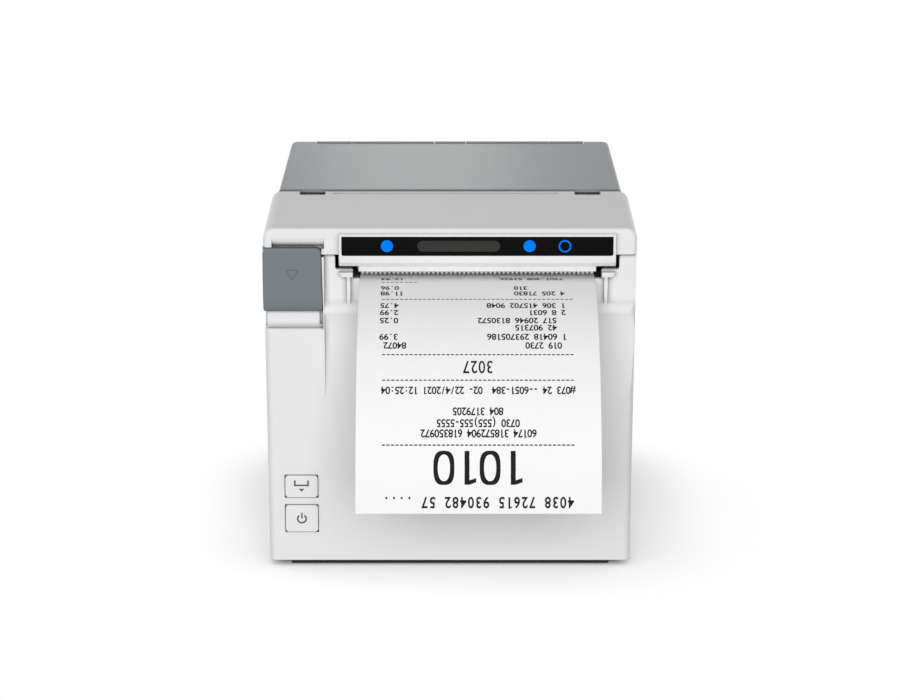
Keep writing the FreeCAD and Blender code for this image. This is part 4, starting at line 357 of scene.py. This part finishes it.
def add_piece(name, mesh, body, finish_slot=None, finish=None):
    """Puts a finished mesh in the scene and ties it to its body."""
    thing = bpy.data.objects.new(name, mesh)
    bpy.context.scene.collection.objects.link(thing)
    mesh.materials.append(finish or finishes[finish_slot])
    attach(thing, body)
    return thing


print("piece helpers ready")

# %% [markdown]
# A sheet can be drawn by an edge that moves: the edge across the slot is extruded straight, spun
# about the curl's axis, and extruded again for the tail. A Solidify modifier gives the paper its
# thickness. The sheet stands in for the rigid solid of the ticket.

# %% Draw the sheet with an edge
CURL_STEPS = 48
sheet = bmesh.new()
ends = [sheet.verts.new((x, high.y, PAPER_TOP)) for x in (TICKET_LEFT, TICKET_RIGHT)]
grown = bmesh.ops.extrude_edge_only(sheet, edges=[sheet.edges.new(ends)])
front = only(VERT, grown["geom"])
bmesh.ops.translate(sheet, verts=front, vec=(0, ARC_START.y - high.y, 0))
front += only(EDGE, grown["geom"])
turned = bmesh.ops.spin(sheet, geom=front, cent=AXIS, axis=(1, 0, 0), dvec=(0, 0, 0),
                        angle=HANG_SLOPE - LEAD_SLOPE, steps=CURL_STEPS, use_merge=False)
grown = bmesh.ops.extrude_edge_only(sheet, edges=only(EDGE, turned["geom_last"]))
bmesh.ops.translate(sheet, verts=only(VERT, grown["geom"]),
                    vec=TAIL * Vector((0, -math.cos(HANG_SLOPE), -math.sin(HANG_SLOPE))))
bmesh.ops.recalc_face_normals(sheet, faces=sheet.faces)
if sum(f.normal.z for f in sheet.faces) < 0:
    bmesh.ops.reverse_faces(sheet, faces=sheet.faces)
for face in sheet.faces:
    face.smooth = True
for edge in sheet.edges:
    edge.smooth = not edge.is_boundary
paper = make_mesh("printed_ticket", sheet)
ticket = add_piece("printed_ticket", paper, "housing", "thermal_paper")
skin = ticket.modifiers.new("Paper thickness", "SOLIDIFY")
skin.thickness = THICK
skin.offset = -1
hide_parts("ticket")
print("ticket faces:", len(paper.polygons))

# %% [markdown]
# ## Print on the ticket
# A thermal head prints on a fixed grid of columns, so every line here is set character by character
# at an even pitch. The print is laid out flat and then wrapped on the curl: one function takes the
# flat sheet's two directions, across and along, to a place on the paper. The print reads upside
# down, because the top of the ticket comes out last.

# %% Wrap a flat point on the curl
INK_LIFT = 0.02 * MM


def on_ticket(across, along):
    """The place on the paper for a point of the flat ticket, along = 0 where the curl starts."""
    turn = LEAD_SLOPE + min(max(along, 0), ARC_LENGTH) / CURL
    rise = CURL + INK_LIFT
    place = AXIS + rise * Vector((0, -math.sin(turn), math.cos(turn)))
    if along < 0:
        place = Vector((0, ARC_START.y - along, PAPER_TOP + INK_LIFT))
    if along > ARC_LENGTH:
        place += (along - ARC_LENGTH) * Vector((0, -math.cos(turn), -math.sin(turn)))
    place.x = across
    return place


print("wrapping helper ready")

# %% [markdown]
# Each character is made once and copied into place. Most come from a text object that is turned
# into a mesh. The one and the large zero are drawn from points, because receipt printers shape
# them in their own way: the one is a bar with a flag, the zero a squared oval. Every character is 1
# tall and its weight makes its strokes bolder.

# %% Draw the one and the large zero
BAR_HALF, FLAG_REACH = 0.068, 0.19
FLAG_BOTTOM, FLAG_FOOT, FLAG_TIP = 0.80, 0.87, 0.93
ZERO_OUTSIDE, ZERO_INSIDE = (0.295, 0.505, 2.9), (0.175, 0.395, 2.3)
ZERO_STEPS = 48


def flagged_one(weight):
    """A one as printers draw it: an upright bar with a short flag at its top."""
    half = BAR_HALF + weight
    shape = bmesh.new()
    bar = [(-half, 0), (half, 0), (half, 1), (-half, 1)]
    flag = [(-half - FLAG_REACH, FLAG_BOTTOM), (-half, FLAG_FOOT), (-half, 1),
            (-half - FLAG_REACH, FLAG_TIP - weight)]
    for corners in (bar, flag):
        shape.faces.new([shape.verts.new((x, y, 0)) for x, y in corners])
    return make_mesh("one", shape)


def squared_oval(shape, across, up, power):
    """Vertices of an oval about the middle of a digit, squarer as its power grows."""
    verts = []
    for step in range(ZERO_STEPS):
        turn = 2 * math.pi * step / ZERO_STEPS
        x, y = (math.copysign(abs(v) ** (2 / power), v) for v in (math.cos(turn), math.sin(turn)))
        verts.append(shape.verts.new((across * x, 0.5 + up * y, 0)))
    return verts


def large_zero(weight):
    """The zero of the large number: a tall ring, squarer outside than inside."""
    shape = bmesh.new()
    across, up, power = ZERO_OUTSIDE
    outer = squared_oval(shape, across + weight, up + weight, power)
    across, up, power = ZERO_INSIDE
    inner = squared_oval(shape, across - weight, up - weight, power)
    for step in range(ZERO_STEPS):
        after = (step + 1) % ZERO_STEPS
        shape.faces.new((outer[step], outer[after], inner[after], inner[step]))
    return make_mesh("zero", shape)


print("drawn characters ready")

# %% Make each character once
DIGIT_SHARE = 0.73
GLYPH_STEPS = 4
drawn = {"1": flagged_one, "o": large_zero}
glyphs = {}


def typed(letter, weight):
    """A character of the built-in font as a mesh, 1 tall where it is a digit."""
    curve = bpy.data.curves.new("glyph", "FONT")
    curve.body = letter
    curve.size = 1 / DIGIT_SHARE
    curve.resolution_u = GLYPH_STEPS
    curve.offset = weight
    curve.align_x = "CENTER"
    thing = bpy.data.objects.new("glyph", curve)
    mesh = bpy.data.meshes.new_from_object(thing)
    bpy.data.objects.remove(thing)
    return mesh


def glyph(letter, weight):
    """One character as a flat mesh, made once. An o stands for the large zero."""
    if (letter, weight) not in glyphs:
        mesh = drawn[letter](weight) if letter in drawn else typed(letter, weight)
        glyphs[letter, weight] = mesh
    return glyphs[letter, weight]


def set_line(page, text, start, along, pitch, tall, wide, weight):
    """Sets a line on the flat page, from its right end to its left, upside down."""
    for count, letter in enumerate(text):
        if letter == " ":
            continue
        before = len(page.verts)
        page.from_mesh(glyph(letter, weight))
        page.verts.ensure_lookup_table()
        middle = Matrix.Translation((start - (count + 0.5) * pitch, along, 0))
        size = Matrix.Diagonal((-wide, tall, 1, 1))
        bmesh.ops.transform(page, verts=page.verts[before:], matrix=middle @ size)


print("printing helpers ready")

# %% [markdown]
# The ticket carries digits and a few signs: numbers and prices in columns, a date, and the large
# number that a waiting customer looks for. Each small row gives its place along the ticket, the
# spread of its columns, a shift to the side and its text. Lengths are in millimetres.

# %% Set the small rows
COLUMNS = 42
PITCH = 1.512 * MM
TEXT_RIGHT = 40.9 * MM
MIDDLE = TEXT_RIGHT - COLUMNS / 2 * PITCH
SPREAD = 1.026
SMALL = dict(tall=2.7 * MM, wide=2.35 * MM, weight=0.03)
page = bmesh.new()
rows = (
    (-2.9, SPREAD, 0, "  7301-408 51926                     12.94"),
    (5.0, SPREAD, 0, "          318                         0.96"),
    (8.8, SPREAD, 0, "  4 205 71830                        11.98"),
    (16.2, SPREAD, 0, "  1 306 415702 9048                   4.75"),
    (20.0, SPREAD, 0, "  2 8 6031                            2.99"),
    (24.0, SPREAD, 0, "    517 20946 8130572                 0.25"),
    (27.4, SPREAD, 0, "    42 907315"),
    (31.5, SPREAD, 0, "  1 60418 293705186                   3.99"),
    (35.2, 1, -0.9, "  019 2730                          84072"),
    (52.3, 1, 0, "#073 24 --6051-384  02- 22/4/2021 12:25:04"),
    (59.6, 1, 0.7, "                804 3179205"),
    (63.6, 1, 0, "            0730 (555)555-5555"),
    (67.0, 1, -0.6, "        60174 318572904 618350972"),
)
for along, spread, aside, text in rows:
    right = MIDDLE + COLUMNS / 2 * spread * PITCH + aside * MM
    set_line(page, text, right, along * MM, spread * PITCH, **SMALL)
print("small rows:", len(page.faces))

# %% [markdown]
# The larger rows stand apart from the columns. Each gives its text, its right end, its place along
# the ticket, the pitch, height and width of its characters, and their weight.

# %% Set the larger rows
larger_rows = (
    ("3027", 14.3, 42.7, 2.55, 4.9, 3.4, 0.015),
    ("1o1o", 24.3, 74.0, 7.51, 11, 11.5, 0.002),
    ("4038 72615 930482 57 ....", 40.55, 89.06, 2.5, 3.75, 3.0, 0.03),
)
for text, right, along, pitch, tall, wide, weight in larger_rows:
    set_line(page, text, right * MM, along * MM, pitch * MM, tall * MM, wide * MM, weight)
print("all rows:", len(page.faces))

# %% [markdown]
# Dashed rules part the sections. Each rule gives its place along the ticket, its spread and the
# column of its first dash. A dash is one small flat face.

# %% Add the dashed rules
DASH = Matrix.Diagonal((1.05 * MM, 0.42 * MM, 1, 1))
rules = ((1.8, SPREAD, 34), (13.8, 1.018, 0), (40.2, 1, 0), (49.9, 0.995, 0), (72.1, 0.995, 0))
for along, spread, first in rules:
    for column in range(first, COLUMNS):
        across = MIDDLE + ((COLUMNS - 1) / 2 - column) * spread * PITCH
        middle = Matrix.Translation((across, along * MM, 0))
        bmesh.ops.create_grid(page, x_segments=1, y_segments=1, size=0.5, matrix=middle @ DASH)
print("with rules:", len(page.faces))

# %% [markdown]
# A flat face can't follow the curl, so the print is cut in narrow strips before it is wrapped. Its
# faces are then turned outwards, away from the curl's axis.

# %% Cut the print in strips and wrap it
STRIP, FIRST_CUT, CUTS = 2, -2, 52


def looks_inward(face):
    """True where a face of the print looks towards the curl's axis."""
    middle = face.calc_center_median()
    return face.normal.dot(middle - Vector((middle.x, AXIS.y, AXIS.z))) < 0


for step in range(FIRST_CUT, CUTS):
    geometry = page.verts[:] + page.edges[:] + page.faces[:]
    bmesh.ops.bisect_plane(page, geom=geometry, plane_co=(0, step * STRIP * MM, 0),
                           plane_no=(0, 1, 0))
for vert in page.verts:
    vert.co = on_ticket(vert.co.x, vert.co.y)
bmesh.ops.recalc_face_normals(page, faces=page.faces)
bmesh.ops.reverse_faces(page, faces=[f for f in page.faces if looks_inward(f)])
printed = make_mesh("ticket_print", page)
print("print triangles:", len(printed.polygons))

# %% Ink
ink, tree, shader, place = new_finish("thermal_ink")
burn = speckle(tree, place, 5200)
drift(tree, shader, burn, (0.006, 0.006, 0.007), (0.018, 0.018, 0.02))
roughen(tree, shader, burn, 0.5, 0.65)
shader.inputs["Specular IOR Level"].default_value = 0.12
add_piece("ticket_print", printed, "housing", finish=ink)
print("print added")

# %% [markdown]
# ## Marks on the window and the buttons
# The window shows a slim pill and a ring, and each button carries a printed symbol: the power ring
# with its bar, and a paper tray with an arrow. Each mark is a thin plate, drawn flat from a few
# vertices, extruded by the thickness of a print and laid on the face that carries it.

# %% Helpers for flat marks
MARK_THICK = 0.03
RING_STEPS, CORNER_STEPS = 48, 10


def centre(low, high):
    """The middle of a box across and up, in millimetres."""
    return (low.x + high.x) / 2 / MM, (low.z + high.z) / 2 / MM


def plate_outline(shape, points):
    """A flat face from a loop of (across, up) points in millimetres."""
    return shape.faces.new([shape.verts.new((x * MM, 0, z * MM)) for x, z in points])


def ring(shape, x, z, outer, inner, gap=0.0):
    """A flat ring about (x, z), open at its top by gap degrees on either side."""
    around = math.radians(360 - 2 * gap)
    start = math.radians(90 + gap)
    ends = [shape.verts.new(((x + r * math.cos(start)) * MM, 0, (z + r * math.sin(start)) * MM))
            for r in (inner, outer)]
    edge = shape.edges.new(ends)
    bmesh.ops.spin(shape, geom=ends + [edge], cent=(x * MM, 0, z * MM), axis=(0, -1, 0),
                   dvec=(0, 0, 0), angle=around, steps=RING_STEPS, use_merge=gap == 0)


def lay_mark(name, shape, front, body, finish_slot=None, finish=None, thick=MARK_THICK):
    """Gives a flat mark its thickness and lays it on a face that looks forward."""
    bmesh.ops.remove_doubles(shape, verts=shape.verts, dist=1e-7)
    bmesh.ops.recalc_face_normals(shape, faces=shape.faces)
    swept = bmesh.ops.extrude_face_region(shape, geom=shape.faces[:])
    bmesh.ops.translate(shape, verts=only(VERT, swept["geom"]), vec=(0, -thick * MM, 0))
    bmesh.ops.translate(shape, verts=shape.verts, vec=(0, front, 0))
    bmesh.ops.recalc_face_normals(shape, faces=shape.faces)
    mesh = make_mesh(name, shape)
    print(name, "faces:", len(mesh.polygons))
    return add_piece(name, mesh, body, finish_slot, finish)


def pill_outline(shape, x, z, wide, tall):
    """A flat pill about (x, z): a bar with half-round ends."""
    radius = tall / 2
    points = []
    for quarter in range(4):
        cx = x + (wide / 2 - radius) * (1 if quarter in (0, 3) else -1)
        for step in range(CORNER_STEPS + 1):
            angle = math.radians(90 * quarter + 90 * step / CORNER_STEPS)
            points.append((cx + radius * math.cos(angle), z + radius * math.sin(angle)))
    return plate_outline(shape, points)


print("mark helpers ready")

# %% The pill and the ring on the window
PILL_X, RING_X = 2.95, 39.0
PILL_OUTSIDE, PILL_INSIDE = (28.2, 3.8), (27.5, 3.1)
RING_OUTER, RING_INNER = 2.15, 1.65
RIM_THICK, FILL_THICK = 0.02, 0.01
low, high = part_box("led_window")
window_front, window_middle = low.y, centre(low, high)[1]
pill_rim = moulded("pill_rim", (0.030, 0.030, 0.029), (0.026, 0.026, 0.025), 0.4, shine=0.1, edge=0)
pill_fill = moulded("pill_fill", (0.036, 0.035, 0.033), (0.031, 0.030, 0.028), 0.4,
                    shine=0.1, edge=0)
shape = bmesh.new()
pill_outline(shape, PILL_X, window_middle, *PILL_OUTSIDE)
lay_mark("window_pill_rim", shape, window_front, "cover", finish=pill_rim, thick=RIM_THICK)
shape = bmesh.new()
pill_outline(shape, PILL_X, window_middle, *PILL_INSIDE)
lay_mark("window_pill", shape, window_front - RIM_THICK * MM, "cover", finish=pill_fill,
         thick=FILL_THICK)
shape = bmesh.new()
ring(shape, RING_X, window_middle, RING_OUTER, RING_INNER)
lay_mark("window_ring", shape, window_front, "cover", "light_blue")

# %% [markdown]
# The two symbols are lists of corners about the middle of their button, in millimetres. The faces
# of both buttons stand equally far forward.

# %% The symbols on the buttons
POWER_RING, RING_DROP = dict(outer=1.75, inner=1.2, gap=38), 0.1
POWER_BAR = [(-0.27, 0), (0.27, 0), (0.27, 2.1), (-0.27, 2.1)]
TRAY = ([(-2.6, 2.2), (-2.0, 2.2), (-2.0, 0.7), (-2.6, 0.7)],
        [(2.0, 2.2), (2.6, 2.2), (2.6, 0.7), (2.0, 0.7)],
        [(-2.6, 0.7), (2.6, 0.7), (2.6, 0.15), (-2.6, 0.15)])
ARROW = [(-1.0, -0.8), (0, -1.9), (1.0, -0.8)]
symbol_grey = moulded("symbol_grey", (0.075, 0.078, 0.08), (0.09, 0.093, 0.095), 0.5, 3000)
button_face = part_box("power_button")[0].y
low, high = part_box("power_button")
middle_x, middle_z = centre(low, high)
shape = bmesh.new()
ring(shape, middle_x, middle_z - RING_DROP, **POWER_RING)
plate_outline(shape, [(middle_x + x, middle_z + z) for x, z in POWER_BAR])
lay_mark("power_symbol", shape, button_face, "power_button", finish=symbol_grey)

low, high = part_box("feed_button")
middle_x, middle_z = centre(low, high)
shape = bmesh.new()
for points in (*TRAY, ARROW):
    plate_outline(shape, [(middle_x + x, middle_z + z) for x, z in points])
lay_mark("feed_symbol", shape, button_face, "feed_button", finish=symbol_grey)

# %% [markdown]
# ## The studio
# The printer stands on a pale floor in even light. The camera should see a white room, while the
# printer should get only a little light from the floor and the sky. The Light Path node tells the
# two apart: what the camera sees, directly or in gloss, may differ from what lights the printer.

# %% What the camera sees
def seen_rays(tree):
    """1 where the camera looks, directly or by way of gloss or glass."""
    rays = tree.nodes.new("ShaderNodeLightPath")
    either = calculate(tree, "MAXIMUM", rays.outputs["Is Camera Ray"],
                       rays.outputs["Is Glossy Ray"])
    return calculate(tree, "MAXIMUM", either, rays.outputs["Is Transmission Ray"])


def join(tree, first, output, second, name):
    """Links a named output of one node to an input of another."""
    tree.links.new(first.outputs[output], second.inputs[name])


print("ray helper ready")

# %% Floor
FLOOR_SIZE = 6
ground = bmesh.new()
bmesh.ops.create_grid(ground, x_segments=1, y_segments=1, size=FLOOR_SIZE)
floor_mesh = make_mesh("studio_floor", ground)
floor = bpy.data.objects.new("studio_floor", floor_mesh)
bpy.context.scene.collection.objects.link(floor)
print("floor laid")

# %% [markdown]
# To the printer the floor is a mid grey that throws little light up. To the camera it is white with
# the printer's soft shadow on it. Near the printer that white is part diffuse colour, which takes
# the lamps' shadows, and part glow, which an Ambient Occlusion node dims where the printer stands
# close
# by: a painted contact shadow.

# %% The floor near the printer
FLOOR_BOUNCE, FLOOR_SEEN, FLOOR_GLOW = 0.42, 0.45, 0.73
# reach, softness and samples of the painted contact shadow
PAINTED_SHADOW_REACH, PAINTED_SHADOW_SOFTNESS, PAINTED_SHADOW_SAMPLES = 38 * MM, 0.62, 8
floor_finish, tree, shader, place = new_finish("floor_white")
shader.inputs["Roughness"].default_value = 0.9
shader.inputs["Specular IOR Level"].default_value = 0.0
seen = seen_rays(tree)
cloud = mix_colours(tree, speckle(tree, place, 3), (FLOOR_SEEN,) * 3, (0.99 * FLOOR_SEEN,) * 3)
drift(tree, shader, seen, (FLOOR_BOUNCE,) * 3, cloud)
# painted contact shadow: the glow dims where the printer stands close by
painted_contact_shadow = openness(tree, PAINTED_SHADOW_REACH, PAINTED_SHADOW_SOFTNESS, PAINTED_SHADOW_SAMPLES)
strength = calculate(tree, "MULTIPLY", seen, FLOOR_GLOW)
glow = tree.nodes.new("ShaderNodeEmission")
tree.links.new(calculate(tree, "MULTIPLY", strength, painted_contact_shadow), glow.inputs["Strength"])
near = tree.nodes.new("ShaderNodeAddShader")
join(tree, shader, "BSDF", near, 0)
join(tree, glow, "Emission", near, 1)
print("near floor ready")

# %% [markdown]
# Further out the floor fades to a plain white glow, so its far edge can't be told from the sky.

# %% The floor further out
FLOOR_NEAR, FLOOR_FAR = 0.085, 0.14
distance = tree.nodes.new("ShaderNodeVectorMath")
distance.operation = "LENGTH"
tree.links.new(place, distance.inputs[0])
reach = tree.nodes.new("ShaderNodeMapRange")
reach.interpolation_type = "SMOOTHSTEP"
reach.inputs["From Min"].default_value = FLOOR_NEAR
reach.inputs["From Max"].default_value = FLOOR_FAR
join(tree, distance, "Value", reach, "Value")
away = calculate(tree, "MULTIPLY", reach.outputs["Result"], seen)
far = tree.nodes.new("ShaderNodeEmission")
both = tree.nodes.new("ShaderNodeMixShader")
tree.links.new(away, both.inputs["Fac"])
join(tree, near, "Shader", both, 1)
join(tree, far, "Emission", both, 2)
join(tree, both, "Shader", tree.nodes["Material Output"], "Surface")
floor_mesh.materials.append(floor_finish)
print("floor ready")

# %% [markdown]
# The sky lights the printer softly from all sides. Where the camera sees it, it is plain white.

# %% Sky
SKY_LIGHT, SKY_SEEN = 0.2, 1.0
world = bpy.data.worlds.new("studio_sky")
bpy.context.scene.world = world
world.use_nodes = True
tree = world.node_tree
dim, white = tree.nodes["Background"], tree.nodes.new("ShaderNodeBackground")
for background, strength in ((dim, SKY_LIGHT), (white, SKY_SEEN)):
    background.inputs["Color"].default_value = (1, 1, 1, 1)
    background.inputs["Strength"].default_value = strength
both = tree.nodes.new("ShaderNodeMixShader")
tree.links.new(seen_rays(tree), both.inputs["Fac"])
join(tree, dim, "Background", both, 1)
join(tree, white, "Background", both, 2)
join(tree, both, "Shader", tree.nodes["World Output"], "Surface")
print("sky ready")

# %% [markdown]
# A broad lamp in front, a little to the left, lights the front face. It stays out of reflections,
# because it would bleach the lid when seen from behind. A small lamp behind the printer draws a
# soft streak on the lid, one above lifts the top, and two low ones light the sides and the back.
# Each lamp gives its place, what it looks at, its power in watts, its width and its height.

# %% Lamps
CASE_MIDDLE = (0, 0, 0.06)


def lamp(name, place, target, power, wide, tall):
    """A soft rectangular lamp that looks at a point."""
    data = bpy.data.lights.new(name, "AREA")
    data.shape = "RECTANGLE"
    data.size, data.size_y = wide, tall
    data.energy = power
    thing = bpy.data.objects.new(name, data)
    thing.location = place
    aim = Vector(target) - Vector(place)
    thing.rotation_euler = aim.to_track_quat("-Z", "Y").to_euler()
    bpy.context.scene.collection.objects.link(thing)
    return thing


front_lamp = lamp("front_lamp", (-0.06, -1.9, 0.68), CASE_MIDDLE, 33, 1.3, 0.9)
front_lamp.visible_glossy = False
lamp("back_lamp", (-0.03, 1.6, 0.52), (0, 0, 0.12), 0.3, 0.18, 0.18)
lamp("top_lamp", (-0.5, 0.1, 1.2), CASE_MIDDLE, 1.7, 0.5, 0.5)
for side in (-1, 1):
    lamp("side_lamp", (side * 1.5, 1.3, 0.3), (0, 0.02, 0.06), 14, 0.9, 0.5)
print("lamps ready")

# %% [markdown]
# ## The camera
# A long lens stands in front and a little above, so that the sides stay nearly upright.

# %% Camera
SENSOR, LENS = 36, 112.24
CAMERA_PLACE = (0, -0.96899, 0.33557)
CAMERA_DIP = 15.51
camera_data = bpy.data.cameras.new("camera")
camera_data.sensor_width = SENSOR
camera_data.lens = LENS
camera = bpy.data.objects.new("camera", camera_data)
camera.location = CAMERA_PLACE
camera.rotation_euler = (math.radians(90 - CAMERA_DIP), 0, 0)
bpy.context.scene.collection.objects.link(camera)
bpy.context.scene.camera = camera
bpy.context.scene.view_settings.view_transform = "Standard"
print("camera ready")
